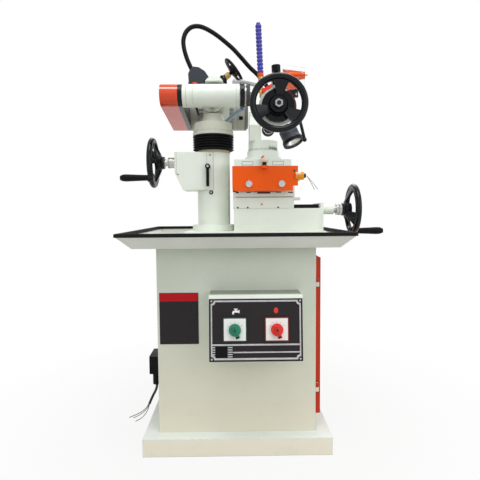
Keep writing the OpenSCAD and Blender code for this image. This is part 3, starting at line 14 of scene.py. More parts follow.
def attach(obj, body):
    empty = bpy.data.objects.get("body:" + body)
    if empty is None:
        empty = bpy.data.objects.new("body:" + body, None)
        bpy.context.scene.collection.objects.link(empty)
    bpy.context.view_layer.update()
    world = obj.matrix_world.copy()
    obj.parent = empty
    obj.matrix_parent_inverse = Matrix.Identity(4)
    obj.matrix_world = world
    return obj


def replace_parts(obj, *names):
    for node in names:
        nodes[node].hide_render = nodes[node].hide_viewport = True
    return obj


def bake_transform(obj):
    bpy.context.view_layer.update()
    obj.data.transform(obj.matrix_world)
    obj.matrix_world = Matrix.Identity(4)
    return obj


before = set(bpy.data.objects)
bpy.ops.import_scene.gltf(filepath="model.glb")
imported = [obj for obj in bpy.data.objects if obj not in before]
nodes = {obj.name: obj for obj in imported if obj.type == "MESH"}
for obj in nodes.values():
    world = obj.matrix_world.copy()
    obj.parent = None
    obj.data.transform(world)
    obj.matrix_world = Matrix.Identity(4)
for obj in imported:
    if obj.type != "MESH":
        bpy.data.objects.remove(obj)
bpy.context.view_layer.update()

# %% [markdown]
# The camera stands where the photographer stood. Its place was solved from the plinth, cabinet and tray edges.
# A camera looks along its own minus Z, so its matrix holds the right, up and backward directions as columns.

# %% Camera
def mm(numbers):
    """Millimetres as an array in metres."""
    return np.asarray(numbers, float) / 1000


CAMERA_AT = mm((-4.16, -1508.19, 716.43))
YAW, PITCH, ROLL = 0.0121772, 0.0631968, -0.0074328
FOCAL_PIXELS, PHOTO_PIXELS, SENSOR_MM = 430.93, 480, 36


def new_object(name, data):
    """An object for some data, linked into the scene."""
    thing = bpy.data.objects.new(name, data)
    bpy.context.scene.collection.objects.link(thing)
    return thing


def placed(right, up, back, at):
    """Matrix with three directions and a place as its columns."""
    columns = np.eye(4)
    columns[:3] = np.stack([right, up, back, at], 1)
    return Matrix(columns.tolist())


across = np.array([math.cos(YAW), -math.sin(YAW), 0])
ahead = np.array([math.sin(YAW) * math.cos(PITCH), math.cos(YAW) * math.cos(PITCH), -math.sin(PITCH)])
above = np.cross(across, ahead)
camera_right = math.cos(ROLL) * across + math.sin(ROLL) * above
camera_up = math.cos(ROLL) * above - math.sin(ROLL) * across
camera_data = bpy.data.cameras.new("camera")
camera_data.sensor_fit = "HORIZONTAL"
camera_data.sensor_width = SENSOR_MM
camera_data.lens = SENSOR_MM * FOCAL_PIXELS / PHOTO_PIXELS
camera = new_object("camera", camera_data)
camera.matrix_world = placed(camera_right, camera_up, -ahead, CAMERA_AT)
bpy.context.scene.camera = camera
print("camera lens", round(camera_data.lens, 2), "mm")

# %% [markdown]
# Every added piece is a surface on a grid: one parameter runs along it and the other runs round it.
# A tube is a circle carried along a path, a turned piece is a profile spun round an axis, and a slab is an
# outline drawn through its thickness. All points are worked out as whole arrays, in metres.

# %% Surface helpers
RIGHT, BACK, UP = (1, 0, 0), (0, 1, 0), (0, 0, 1)
FRONT = (0, -1, 0)


def unit(v):
    """Each row divided by its own length."""
    v = np.asarray(v, float)
    return v / np.linalg.norm(v, axis=-1, keepdims=True)


def ring_faces(rows, sides, closed=False):
    """Quads between neighbouring rings of a grid. The ends get flat caps, or if closed they join each other."""
    i, j = np.arange(rows if closed else rows - 1)[:, None], np.arange(sides)[None, :]
    near, far, k = i * sides, (i + 1) % rows * sides, (j + 1) % sides
    quads = np.stack([near + j, near + k, far + k, far + j], -1).reshape(-1, 4).tolist()
    caps = [np.arange(sides)[::-1].tolist(), (np.arange(sides) + (rows - 1) * sides).tolist()]
    return quads if closed else quads + caps


def cross_pair(axis):
    """An axis of length one, and two directions square to it and to each other."""
    a = unit(axis)
    first = unit(np.cross(BACK if abs(a[1]) < 0.9 else RIGHT, a))
    return a, first, np.cross(a, first)


def round_axis(angle, height, radius, at, axis):
    """Points round an axis: at + height axis + radius (cos angle, sin angle)."""
    a, e1, e2 = cross_pair(axis)
    angle, height, radius = (np.asarray(v, float)[..., None] for v in (angle, height, radius))
    return np.asarray(at, float) + height * a + radius * (np.cos(angle) * e1 + np.sin(angle) * e2)


def turned(profile, at, axis, sides, closed=False):
    """Profile of (radius, height) pairs spun round an axis."""
    p = np.asarray(profile, float)[:, None]
    points = round_axis(np.linspace(0, 2 * np.pi, sides, endpoint=False), p[..., 1], p[..., 0], at, axis)
    return points.reshape(-1, 3), ring_faces(len(p), sides, closed)


def tube(path, radius, sides, side=BACK):
    """Circle carried along a path: point = path + radius (cos a + sin b), with a and b square to the path."""
    path = np.asarray(path, float)
    t = unit(np.gradient(path, axis=0))
    a = unit(np.cross(t, side))
    b = np.cross(t, a)
    w = np.linspace(0, 2 * np.pi, sides, endpoint=False)[None, :, None]
    r = np.broadcast_to(np.asarray(radius, float), (len(path),))[:, None, None]
    points = path[:, None] + r * (np.cos(w) * a[:, None] + np.sin(w) * b[:, None])
    return points.reshape(-1, 3), ring_faces(len(path), sides)


def smooth_route(points, steps):
    """Catmull-Rom curve: each span is the cubic through its two points with slopes from their neighbours."""
    p = np.asarray(points, float)
    q = np.vstack([p[:1], p, p[-1:]])
    t = np.linspace(0, 1, steps, endpoint=False)[None, :, None]
    a, b, c, d = (q[k:len(p) - 1 + k, None] for k in range(4))
    curve = (2 * b + (c - a) * t + (2 * a - 5 * b + 4 * c - d) * t**2 + (3 * b - a - 3 * c + d) * t**3) / 2
    return np.vstack([curve.reshape(-1, 3), p[-1:]])


def in_plane(outline, at, out, up, depth):
    """Points of an outline of (across, up) pairs in a plane, moved out of it by a depth."""
    n, u = unit(out), unit(up)
    return np.asarray(at, float) + outline[:, :1] * np.cross(u, n) + outline[:, 1:] * u + depth * n


def slab(outline, at, out, up, depth, edge=0.0):
    """Outline drawn out along a direction, its rim stepped in by edge at both ends."""
    middle = outline.mean(0)
    shrink = 1 - edge / np.abs(outline - middle).max()
    rows = [(shrink, 0), (1, edge), (1, depth - edge), (shrink, depth)] if edge else [(1, 0), (1, depth)]
    loops = [in_plane(middle + (outline - middle) * k, at, out, up, d) for k, d in rows]
    return np.vstack(loops), ring_faces(len(rows), len(outline))


def joined(parts):
    """Several surfaces as one: points stacked, and each face moved on by the points before it."""
    points = np.vstack([p for p, _ in parts])
    starts = np.cumsum([0] + [len(p) for p, _ in parts[:-1]])
    return points, [[i + s for i in f] for (_, faces), s in zip(parts, starts.tolist()) for f in faces]


def piece(name, surface, body, finish, sharp=38):
    """A surface made an object that rides on a body, faces outwards, rounded where faces meet under an angle."""
    points, faces = surface
    mesh = bpy.data.meshes.new(name)
    mesh.from_pydata(points.tolist(), [], faces)
    shape = bmesh.new()
    shape.from_mesh(mesh)
    bmesh.ops.recalc_face_normals(shape, faces=shape.faces)
    shape.to_mesh(mesh)
    shape.free()
    mesh.polygons.foreach_set("use_smooth", np.ones(len(mesh.polygons), bool))
    mesh.set_sharp_from_angle(angle=math.radians(sharp))
    mesh.materials.append(finish)
    thing = new_object(name, mesh)
    if body:
        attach(thing, body)
    return thing


print("helpers ready")

# %% [markdown]
# A finish is a small tree of nodes read on Object coordinates, in metres, so its grain keeps a real size.
# The helpers below add a node, fill or link its sockets, and mix two colours.

# %% Node helpers
def colour(r, g, b):
    """Screen colour of 0 to 255 as the linear colour that shaders take."""
    c = np.array([r, g, b]) / 255
    return [*np.where(c <= 0.04045, c / 12.92, ((c + 0.055) / 1.055) ** 2.4).tolist(), 1]


def feed(tree, node, inputs):
    """Inputs of a node, each linked if its value is a socket and set if not."""
    for key, value in inputs.items():
        if isinstance(value, bpy.types.NodeSocket):
            tree.links.new(value, node.inputs[key])
        else:
            node.inputs[key].default_value = value


def add(tree, kind, inputs=None, **settings):
    """One node, with its settings and its inputs."""
    node = tree.nodes.new("ShaderNode" + kind)
    for key, value in settings.items():
        setattr(node, key, value)
    feed(tree, node, inputs or {})
    return node


def shaded(tree, shader, **sockets):
    """Inputs of the main shader, with an underscore for each space in their names."""
    feed(tree, shader, {key.replace("_", " "): value for key, value in sockets.items()})


def noise(tree, where, scale, detail=2.0, rough=0.5):
    return add(tree, "TexNoise", {"Vector": where, "Scale": scale, "Detail": detail, "Roughness": rough}).outputs[0]


def span(tree, value, low, high, to_low=0.0, to_high=1.0):
    """Value between low and high, stretched to a new span and held at its ends."""
    return add(tree, "MapRange", {0: value, 1: low, 2: high, 3: to_low, 4: to_high}).outputs[0]


def maths(tree, kind, a, b=0.0):
    return add(tree, "Math", {0: a, 1: b}, operation=kind).outputs[0]


def mixed(tree, share, a, b, blend="MIX"):
    return add(tree, "Mix", {0: share, 6: a, 7: b}, data_type="RGBA", blend_type=blend).outputs[2]


def new_finish(name):
    """An empty material: its tree, its main shader and the point on the piece in metres."""
    finish = bpy.data.materials.new(name)
    finish.use_nodes = True
    tree = finish.node_tree
    return finish, tree, tree.nodes["Principled BSDF"], add(tree, "TexCoord").outputs["Object"]


def rounded_edges(tree, radius):
    """Normal bent round sharp edges, and how much it was bent there, from 0 to 1."""
    bent = add(tree, "Bevel", {"Radius": radius}, samples=6).outputs[0]
    plain = add(tree, "NewGeometry").outputs["Normal"]
    dot = add(tree, "VectorMath", {0: bent, 1: plain}, operation="DOT_PRODUCT").outputs["Value"]
    return bent, span(tree, dot, 0.985, 0.80)


print("node helpers ready")

# %% [markdown]
# Most of the machine is sprayed enamel over iron or sheet. The colour drifts a little over a hand's width, the
# film has a fine orange peel, and edges are rounded and slightly rubbed. Castings are less even than sheet.
# The scale of a noise counts its waves in a metre.

# %% Enamel finishes
DRIFT_SCALE, PEEL_SCALE, LUMP_SCALE, STAIN_SCALE, CHIP_SCALE, GLOSS_SCALE = 7, 900, 75, 22, 140, 45
STAINED, CHIPPED = (0.62, 0.60, 0.54), (0.55, 0.53, 0.50)


def tinted(tone, *by):
    """Colour with its red, green and blue each multiplied."""
    return (np.array(tone) * [*by, 1]).tolist()


def enamel(name, tone, rough=0.38, peel=0.10, lumps=0.0, rub=0.35, edge=0.0012, drift=0.05, soil=0.12, shine=0.5,
           low=None, fade=(0, 1)):
    """Sprayed paint: drifting colour, orange-peel bump, cast lumps, rubbed and rounded edges, faint soil.

    A low tone, if given, shows at the first height of fade and gives way to the main tone at the second.
    """
    finish, tree, shader, where = new_finish(name)
    tone = colour(*tone)
    bent, worn = rounded_edges(tree, edge)
    broad, fine = noise(tree, where, DRIFT_SCALE, 3), noise(tree, where, PEEL_SCALE, 2)
    dark = tinted(tone, 1 - 2 * drift, 1 - 2 * drift, 1 - 2.4 * drift)
    base = mixed(tree, span(tree, broad, 0.3, 0.7), tone, dark)
    if low:
        height = add(tree, "SeparateXYZ", {0: where}).outputs["Z"]
        base = mixed(tree, span(tree, height, *fade), colour(*low), base)
    stain = span(tree, noise(tree, where, STAIN_SCALE, 6, 0.65), 0.56, 0.75, 0, soil)
    base = mixed(tree, stain, base, tinted(tone, *STAINED))
    chips = maths(tree, "MULTIPLY", worn, span(tree, noise(tree, where, CHIP_SCALE, 4), 0.45, 0.62, 0, rub))
    base = mixed(tree, chips, base, tinted(tone, *CHIPPED))
    height = maths(tree, "ADD", maths(tree, "MULTIPLY", fine, peel),
                   maths(tree, "MULTIPLY", noise(tree, where, LUMP_SCALE, 4, 0.6), lumps))
    bump = add(tree, "Bump", {"Strength": 0.5, "Distance": 0.0012, "Height": height, "Normal": bent})
    gloss = span(tree, noise(tree, where, GLOSS_SCALE, 3), 0.3, 0.7, rough - 0.06, rough + 0.08)
    shaded(tree, shader, Base_Color=base, Normal=bump.outputs[0], Specular_IOR_Level=shine, Roughness=gloss)
    return finish


CASTING = enamel("casting_enamel", (232, 238, 228), 0.36, 0.10, 0.35, edge=0.0022)
# Painted shade: the swivel block and quill take a darker, beige copy of the casting enamel, standing for the shade
# under the head.
SWIVEL_SHADED = enamel("swivel_shaded_enamel", (206, 207, 192), 0.38, 0.10, 0.35, edge=0.0022)
SHEET = enamel("sheet_enamel", (210, 217, 203), 0.40, 0.12, 0.04, low=(224, 219, 199), fade=(0.10, 0.50))
TRAY = enamel("tray_enamel", (230, 232, 224), 0.40, 0.12, 0.04, soil=0.2)
PLINTH = enamel("plinth_enamel", (236, 241, 236), 0.46, 0.16, 0.30, rub=0.6, edge=0.003, soil=0.2,
                low=(238, 232, 213), fade=(0.049, 0.053))
ORANGE = enamel("orange_enamel", (240, 90, 8), 0.32, 0.08, 0.05, drift=0.03, soil=0.06, shine=0.2)
# Partly painted shade: the belt guard's enamel is glossier than the plates' orange, and its darker, redder tone
# stands for the shade on the guard.
GUARD_SHADED = enamel("guard_shaded_enamel", (214, 64, 14), 0.18, 0.05, 0.03, drift=0.03, soil=0.06, shine=0.5)
DOOR = enamel("door_enamel", (196, 52, 20), 0.40, 0.12, 0.04, soil=0.1, shine=0.25)
SLATE = enamel("slate_enamel", (53, 57, 66), 0.45, 0.16, 0.20, rub=0.5, drift=0.06, shine=0.3)
MOTOR = enamel("motor_enamel", (172, 172, 164), 0.45, 0.14, 0.45, drift=0.07, soil=0.2)
BLACK_IRON = enamel("black_iron", (12, 14, 18), 0.20, 0.05, 0.20, rub=0.6, drift=0.06, shine=0.25)
print("enamels made")

# %% [markdown]
# Bare steel keeps the fine lines of the tool that cut it. On round bars these run round the bar, on plates along
# it. The lines come from a noise that is squeezed along one direction.

# %% Metal finishes
GRAIN_SCALE, CLOUD_SCALE = 40, 30
LINED, DULLED = (0.8, 0.8, 0.79), (0.6, 0.57, 0.52)


def stretched(tree, where, scale):
    return add(tree, "Mapping", {"Vector": where, "Scale": scale}).outputs[0]


def bare_metal(name, tone, rough, squeeze, lines=0.10, edge=0.0006):
    """Machined metal: squeezed noise gives tool lines in colour, roughness and bump."""
    finish, tree, shader, where = new_finish(name)
    tone = colour(*tone)
    bent, _ = rounded_edges(tree, edge)
    grain = noise(tree, stretched(tree, where, squeeze), GRAIN_SCALE, 4, 0.7)
    cloud = noise(tree, where, CLOUD_SCALE, 3)
    base = mixed(tree, span(tree, grain, 0.3, 0.7), tone, tinted(tone, *LINED))
    base = mixed(tree, span(tree, cloud, 0.55, 0.8, 0, 0.3), base, tinted(tone, *DULLED))
    bump = add(tree, "Bump", {"Strength": lines, "Distance": 0.0004, "Height": grain, "Normal": bent})
    gloss = span(tree, maths(tree, "ADD", grain, cloud), 0.7, 1.3, rough - 0.07, rough + 0.1)
    shaded(tree, shader, Base_Color=base, Metallic=1.0, Normal=bump.outputs[0], Roughness=gloss)
    return finish


STEEL = bare_metal("turned_steel", (196, 196, 192), 0.28, (18, 1.5, 1.5))
ROD_STEEL = bare_metal("ground_rods", (205, 205, 203), 0.20, (2, 22, 2))
BRASS = bare_metal("valve_brass", (196, 165, 104), 0.30, (4, 4, 12))
TANK = bare_metal("tank_sheet", (180, 182, 184), 0.40, (2, 2, 14))
print("metals made")

# %% [markdown]
# Moulded pieces have a fine skin grain. Rubber is rougher and dusty, hard plastic is glossier. The abrasive wheel
# is the coarsest: bonded grains with pits between them.

# %% Moulded and bonded finishes
DUST_SCALE, GRIT_SCALE, PIT_SCALE, SCRATCH_SCALE = 18, 900, 350, 60
DUST = np.array([0.10, 0.098, 0.09, 0.25])


def moulded(name, tone, rough=0.4, grain=0.08, size=1400, dust=0.15, edge=0.0008, shine=0.5):
    """Moulded skin: fine grain bump, a dusting of pale specks and uneven gloss."""
    finish, tree, shader, where = new_finish(name)
    tone = colour(*tone)
    bent, worn = rounded_edges(tree, edge)
    skin, broad = noise(tree, where, size, 2), noise(tree, where, DUST_SCALE, 4, 0.6)
    pale = (np.array(tone) * 0.75 + DUST).tolist()
    base = mixed(tree, span(tree, broad, 0.45, 0.8, 0, dust), tone, pale)
    base = mixed(tree, maths(tree, "MULTIPLY", worn, 0.25), base, pale)
    bump = add(tree, "Bump", {"Strength": grain * 4, "Distance": 0.0003, "Height": skin, "Normal": bent})
    shaded(tree, shader, Base_Color=base, Normal=bump.outputs[0], Specular_IOR_Level=shine,
           Roughness=span(tree, broad, 0.3, 0.7, rough - 0.05, rough + 0.12))
    return finish


def striped_core(name):
    """Earth core: green insulation with a yellow stripe by its own side of the wire."""
    finish, tree, shader, where = new_finish(name)
    wave = add(tree, "TexWave", {"Vector": where, "Scale": 130.0, "Distortion": 2.0}, bands_direction="Y").outputs[0]
    base = mixed(tree, span(tree, wave, 0.45, 0.55), colour(150, 160, 40), colour(70, 120, 50))
    shaded(tree, shader, Base_Color=base, Roughness=span(tree, wave, 0, 1, 0.38, 0.48))
    return finish


def bonded_grit(name, tone):
    """Abrasive: cells of bonded grain, each a little lighter or darker, with pits between."""
    finish, tree, shader, where = new_finish(name)
    cells = add(tree, "TexVoronoi", {"Vector": where, "Scale": GRIT_SCALE})
    base = mixed(tree, 1.0, colour(*tone), span(tree, cells.outputs["Color"], 0, 1, 0.55, 1.5), "MULTIPLY")
    height = maths(tree, "ADD", cells.outputs["Distance"], noise(tree, where, PIT_SCALE, 4))
    bump = add(tree, "Bump", {"Strength": 0.8, "Distance": 0.0006, "Height": height})
    shaded(tree, shader, Base_Color=base, Roughness=span(tree, height, 0, 2, 0.75, 0.95), Normal=bump.outputs[0])
    return finish


def clear_sheet(name, tint, rough):
    """Clear pane: glass that lets most light through, with a haze of fine scratches."""
    finish, tree, shader, where = new_finish(name)
    haze = noise(tree, stretched(tree, where, (30, 4, 4)), SCRATCH_SCALE, 5, 0.7)
    shaded(tree, shader, Base_Color=tint, Roughness=span(tree, haze, 0.4, 0.8, rough, rough + 0.15), IOR=1.45,
           Transmission_Weight=1.0)
    return finish


RUBBER = moulded("black_rubber", (20, 20, 22), 0.62, 0.14, 900, 0.08, shine=0.15)
BLACK = moulded("black_plastic", (10, 10, 12), 0.34, 0.08, 1500, 0.03, shine=0.13)
PANEL = moulded("panel_film", (34, 28, 31), 0.42, 0.05, 2500, 0.04, shine=0.25)
WHITE = moulded("white_plastic", (236, 236, 232), 0.28, 0.03, 2000, 0.0)
BLUE = moulded("hose_blue", (62, 56, 158), 0.34, 0.06, 1200, 0.10)
RED = moulded("red_plastic", (222, 44, 28), 0.28, 0.04, 1800, 0.0)
GREEN = moulded("green_plastic", (24, 132, 102), 0.28, 0.04, 1800, 0.0)
AMBER = moulded("amber_plastic", (232, 146, 28), 0.35, 0.05, 1500, 0.0, shine=0.3)
# Cream plastic of the table knob, used also for two painted highlights.
CREAM_AND_HIGHLIGHT = moulded("cream_plastic_and_highlight", (226, 216, 190), 0.35, 0.05, 1500, 0.1)
BELT = moulded("belt_rubber", (30, 30, 30), 0.6, 0.2, 700, 0.25)
VINYL = moulded("lead_vinyl", (26, 26, 28), 0.45, 0.08, 1500, 0.15)
TUBE = moulded("coolant_tube_vinyl", (150, 172, 196), 0.25, 0.04, 1200, 0.1)
GREY_CORE = moulded("grey_core", (120, 120, 120), 0.4, 0.05, 1500, 0.1)
BROWN_CORE = moulded("brown_core", (92, 60, 38), 0.4, 0.05, 1500, 0.1)
EARTH_CORE = striped_core("earth_core")
GRIT = bonded_grit("abrasive_grit", (72, 70, 70))
LENS = clear_sheet("lamp_lens_glass", (0.97, 0.96, 0.90, 1), 0.05)
PANE = clear_sheet("shield_pane", (0.96, 0.97, 0.97, 1), 0.02)
print("moulded finishes made")

# %% [markdown]
# Each solid now gets its finish. The slots that came with the model hold flat colours, so they are replaced.

# %% Dress the solids
DRESS = {
    CASTING: ["slide_base", "column", "spindle_housing", "motor_arm", "saddle", "table_plate", "workhead_base",
              "workhead_body", "control_box"],
    SWIVEL_SHADED: ["swivel_block", "quill"], SHEET: ["cabinet"], TRAY: ["tray"], PLINTH: ["plinth"],
    ORANGE: ["end_plates", "eye_shield"], GUARD_SHADED: ["belt_guard"], DOOR: ["door"],
    SLATE: ["lamp_base", "lamp_head"], MOTOR: ["motor"],
    BLACK_IRON: ["head_covers", "elevation_handwheel", "cross_handwheel", "work_handwheel", "work_spindle",
                 "tilt_lever"],
    BLACK: ["junction_box", "elevation_grip", "cross_grip", "tension_handwheel", "index_plunger", "lock_knob",
            "column_lever", "gooseneck"],
    RUBBER: ["tray_edging", "way_cover", "bellows"], PANEL: ["front_plates"], WHITE: ["switch_plates"],
    STEEL: ["elevating_screw", "elevation_shaft", "spindle", "motor_rotor", "cross_screw"],
    ROD_STEEL: ["guide_rods"], BRASS: ["coolant_valve"], TANK: ["coolant_pump"], BELT: ["drive_belt"],
    BLUE: ["coolant_hose"], RED: ["valve_lever", "motor_switch_knob"], CREAM_AND_HIGHLIGHT: ["table_lock_knob"],
    GREEN: ["coolant_switch_knob"], AMBER: ["side_connector"], GRIT: ["grinding_wheel"], LENS: ["lamp_lens"],
    TUBE: ["head_lines"], VINYL: ["mains_lead", "connector_wires"],
}
for finish, names in DRESS.items():
    for name in names:
        nodes[name].data.materials.clear()
        nodes[name].data.materials.append(finish)
print("undressed:", sorted(set(nodes) - {n for names in DRESS.values() for n in names}))

# %% [markdown]
# The cords come before other pieces. The mains lead hangs from its gland and ends where its sheath was stripped:
# three cores fan out from it to the floor. Two short stiff wires stand out of the table's connector. Each keeps
# close to the route of its solid.

# %% Cords
LEAD_R, CORE_R, WIRE_R = 0.00425, 0.00125, 0.0008
LEAD = [(-274, -65, 141), (-274, -65, 131), (-276, -65, 120), (-281, -65, 108), (-288, -66, 95), (-295, -66, 80),
        (-301, -66, 66)]
CORES = {
    "core_brown": (BROWN_CORE, [(-302.5, -66, 67.5), (-311, -68, 53), (-327, -70, 40), (-347, -71, 30),
                                (-369, -72, 21)]),
    "core_earth": (EARTH_CORE, [(-301, -64.5, 67.5), (-308, -62, 51), (-320, -58, 36), (-337, -55, 22),
                                (-360, -53, 10)]),
    "core_grey": (GREY_CORE, [(-299.5, -67.5, 67.5), (-305, -68, 49), (-314, -67, 33), (-329, -66, 16),
                              (-350, -65, 4)]),
}
WIRE_FROM = np.array([207, -226, 824.5])
WIRES = {
    "wire_front": [(-3, -2, 0), (3, -2, -1.5), (9, -2, -10), (15, -2, -20), (21, -2, -31), (27, -2, -42)],
    "wire_back": [(-3, 2, 0), (4, 2, -1.5), (12, 2, -10), (21, 2, -20), (29, 2, -30), (37, 2, -40)],
}


def cord(name, route, radius, finish, body, side=BACK):
    """Tube along a smooth route given in millimetres."""
    path = smooth_route(mm(route), 6)
    thing = piece(name, tube(path, radius, 14, side), body, finish, 60)
    return thing


lead = cord("mains_lead_sheath", LEAD, LEAD_R, VINYL, "stand")
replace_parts(lead, "mains_lead")
for name, (finish, route) in CORES.items():
    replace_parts(cord(name, route, CORE_R, finish, "stand"), "mains_lead")
for name, steps in WIRES.items():
    wire = cord(name, WIRE_FROM + np.array(steps), WIRE_R, GREY_CORE, "table")
    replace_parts(wire, "connector_wires")

# %% [markdown]
# The floor is plain and pale. To the camera it glows almost white, with enough plain shading left in it near the
# machine to hold a soft shadow. The world is white to the camera and a softer grey to everything else.

# %% Floor, world and lamps
FLOOR_HALF, FLOOR_Z = 30, -0.0005
PURE_WHITE, FLOOR_GREY, WORLD_GREY = (1, 1, 1, 1), (0.52, 0.52, 0.50, 1), (0.76, 0.77, 0.78, 1)
GLOW_NEAR, GLOW_FAR, GLOW_LEAST = 0.45, 1.1, 0.88


def seen_directly(tree, mirrored):
    """One for light paths that come straight from the camera or through glass, and if asked off a gloss."""
    path = add(tree, "LightPath").outputs
    seen = maths(tree, "MAXIMUM", path["Is Camera Ray"], path["Is Transmission Ray"])
    return maths(tree, "MAXIMUM", seen, path["Is Glossy Ray"]) if mirrored else seen


def soft_lamp(name, at, aim, size, power):
    """Square soft light at a place, turned to face a point."""
    data = bpy.data.lights.new(name, "AREA")
    data.size, data.energy = size, power
    back = unit(np.array(at) - np.array(aim))
    right = unit(np.cross(UP, back))
    new_object(name, data).matrix_world = placed(right, np.cross(back, right), back, at)


floor_finish, tree, shader, where = new_finish("floor_white")
reach = add(tree, "VectorMath", {0: where}, operation="LENGTH").outputs["Value"]
share = maths(tree, "MULTIPLY", seen_directly(tree, True), span(tree, reach, GLOW_NEAR, GLOW_FAR, GLOW_LEAST, 1.0))
glow = add(tree, "Emission", {"Color": PURE_WHITE, "Strength": 1.0}).outputs[0]
plain = add(tree, "BsdfDiffuse", {"Color": FLOOR_GREY}).outputs[0]
both = add(tree, "MixShader", {0: share, 1: plain, 2: glow}).outputs[0]
tree.links.new(both, tree.nodes["Material Output"].inputs["Surface"])
tree.nodes.remove(shader)
floor_mesh = bpy.data.meshes.new("floor")
corners = [(FLOOR_HALF * x, FLOOR_HALF * y, FLOOR_Z) for x, y in ((-1, -1), (1, -1), (1, 1), (-1, 1))]
floor_mesh.from_pydata(corners, [], [[0, 1, 2, 3]])
floor_mesh.materials.append(floor_finish)
floor = new_object("floor", floor_mesh)

world = bpy.data.worlds.new("studio")
world.use_nodes = True
bpy.context.scene.world = world
tree = world.node_tree
tree.links.new(mixed(tree, seen_directly(tree, False), WORLD_GREY, PURE_WHITE),
               tree.nodes["Background"].inputs["Color"])
soft_lamp("key", (-1.3, -2.2, 2.2), (0, 0, 0.8), 1.8, 6)
soft_lamp("top", (0.1, -0.9, 2.9), (0, -0.05, 0.7), 1.2, 26)
soft_lamp("fill", (1.9, -1.9, 1.5), (0, 0, 0.7), 1.8, 16)
soft_lamp("rim", (0.4, 1.8, 2.6), (0, 0, 0.9), 1.6, 22)
bpy.context.scene.view_settings.view_transform = "Standard"
print("studio ready")

# %% [markdown]
# A pleated rubber bellows keeps dust off the lifting quill. On the real machine it is one moulded skin, so it is
# one closed profile spun round the column. On the machine its lower end stays with the column and its upper end
# lifts with the quill, so the pleats open between them; here the skin is one fixed shape.

# %% Bellows
COLUMN = np.array([-0.071, -0.087])
PLEATS, PLEAT_RISE, CREST_R, PLEAT_DEPTH, SKIN_T = 6, 0.008, 0.0665, 0.007, 0.0026
pleat = np.linspace(0, PLEATS, 145)
fold = CREST_R - PLEAT_DEPTH * np.abs(np.cos(np.pi * pleat)) ** 1.6
skin_out = np.stack([fold, pleat * PLEAT_RISE], 1)
skin = np.vstack([skin_out, skin_out[::-1] - [SKIN_T, 0]])
bellows = piece("bellows_skin", turned(skin, (*COLUMN, 0.916), UP, 96, True), None, RUBBER, 60)
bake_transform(bellows)
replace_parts(bellows, "bellows")
print("bellows has", len(bellows.data.polygons), "faces")

# %% [markdown]
# The lamp stands on a gooseneck, a spiral steel hose in a black sheath. Its ribs are a small wave in the radius
# along the path. The jointed coolant hose is a row of ball sockets, each a rounded bulb on a narrow neck.

# %% Gooseneck and jointed hose
NECK_FROM = np.array([-154.5, -18, 1144])
NECK = [(16, 0, 44), (8, 0, 60), (-6, 0, 93), (-15, 1, 126), (-17, 3, 154), (-9, 6, 180), (8, 10, 198), (30, 14, 204),
        (55, 18, 199), (89, 24, 182), (122, 30, 159), (151, 36, 136), (180, 42, 107), (208, 48, 78), (238, 55, 52),
        (272, 62, 12), (301, 69, -32), (325, 76, -79), (340, 81, -119), (344, 80, -132)]
NECK_R, RIB_H, RIB_STEP = 0.0075, 0.0003, 0.0042
neck_path = smooth_route(mm(NECK_FROM + np.array(NECK)), 44)
along = np.concatenate([[0], np.cumsum(np.linalg.norm(np.diff(neck_path, axis=0), axis=1))])
neck_radius = NECK_R - RIB_H * np.cos(2 * np.pi * along / RIB_STEP)
gooseneck = piece("gooseneck_sheath", tube(neck_path, neck_radius, 18), "head", BLACK, 60)
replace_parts(gooseneck, "gooseneck")

HOSE_FOOT, HOSE_LEAN = mm((81, -130, 1141)), math.radians(-2.4)
HOSE_AXIS = (math.sin(HOSE_LEAN), 0, math.cos(HOSE_LEAN))
SOCKETS, SOCKET_STEP, RING_H = 13, 0.0115, 0.010
SOCKET_SHARE = np.array([0.0, 0.06, 0.16, 0.32, 0.5, 0.66, 0.76, 0.82, 0.92])
SOCKET_R = mm([7.3, 8.2, 9.2, 9.7, 9.8, 9.6, 8.8, 7.6, 7.2])
HOSE_TIP = mm([(7.3, 159.5), (6, 163.5), (4, 163.5), (4, 10)])
HOSE_RING = mm([(4, 0), (9.4, 0), (9.8, 0.6), (9.8, 9.4), (9.2, 10), (4, 10)])
heights = RING_H + ((np.arange(SOCKETS)[:, None] + SOCKET_SHARE) * SOCKET_STEP).ravel()
hose_skin = np.vstack([np.stack([np.tile(SOCKET_R, SOCKETS), heights], 1), HOSE_TIP])
hose = piece("jointed_hose", turned(hose_skin, HOSE_FOOT, HOSE_AXIS, 28, True), "head", BLUE, 45)
hose_ring = piece("hose_ring", turned(HOSE_RING, HOSE_FOOT, HOSE_AXIS, 36, True), "head", ORANGE)
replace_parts(hose, "coolant_hose")
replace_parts(hose_ring, "coolant_hose")
print("gooseneck is", round(along[-1] * 1000), "mm along its bend")

# %% [markdown]
# Behind the swivel block a clear coolant tube and the motor's own lead cross from the motor to the spindle
# housing. Both are held at both ends, and both are made with the cord helper as tubes that go back into the machine.

# %% Tube and motor lead
TUBE_ROUTE = [(-62, 110, 1051), (-57, 73, 1040), (-49, 25, 1030), (-30, -34, 1024), (-16, -60, 1029), (-2, -78, 1036),
              (13, -98, 1042), (24, -115, 1044.5)]
LINE_ROUTE = [(-114, 107, 1057), (-114, 60, 1044), (-120, -40, 1039), (-124, -74, 1053), (-128, -94, 1065)]
TUBE_R, LINE_R = 0.006, 0.004
coolant_tube = cord("coolant_tube", TUBE_ROUTE, TUBE_R, TUBE, "head", UP)
motor_line = cord("motor_line", LINE_ROUTE, LINE_R, VINYL, "head", UP)
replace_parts(coolant_tube, "head_lines")
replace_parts(motor_line, "head_lines")

# %% [markdown]
# The control panel is a printed film. Its silver border has hollow corners, and its lower block has bare bars
# where a maker would print. Each mark is a thin raised slab, placed in millimetres from the panel's corner.

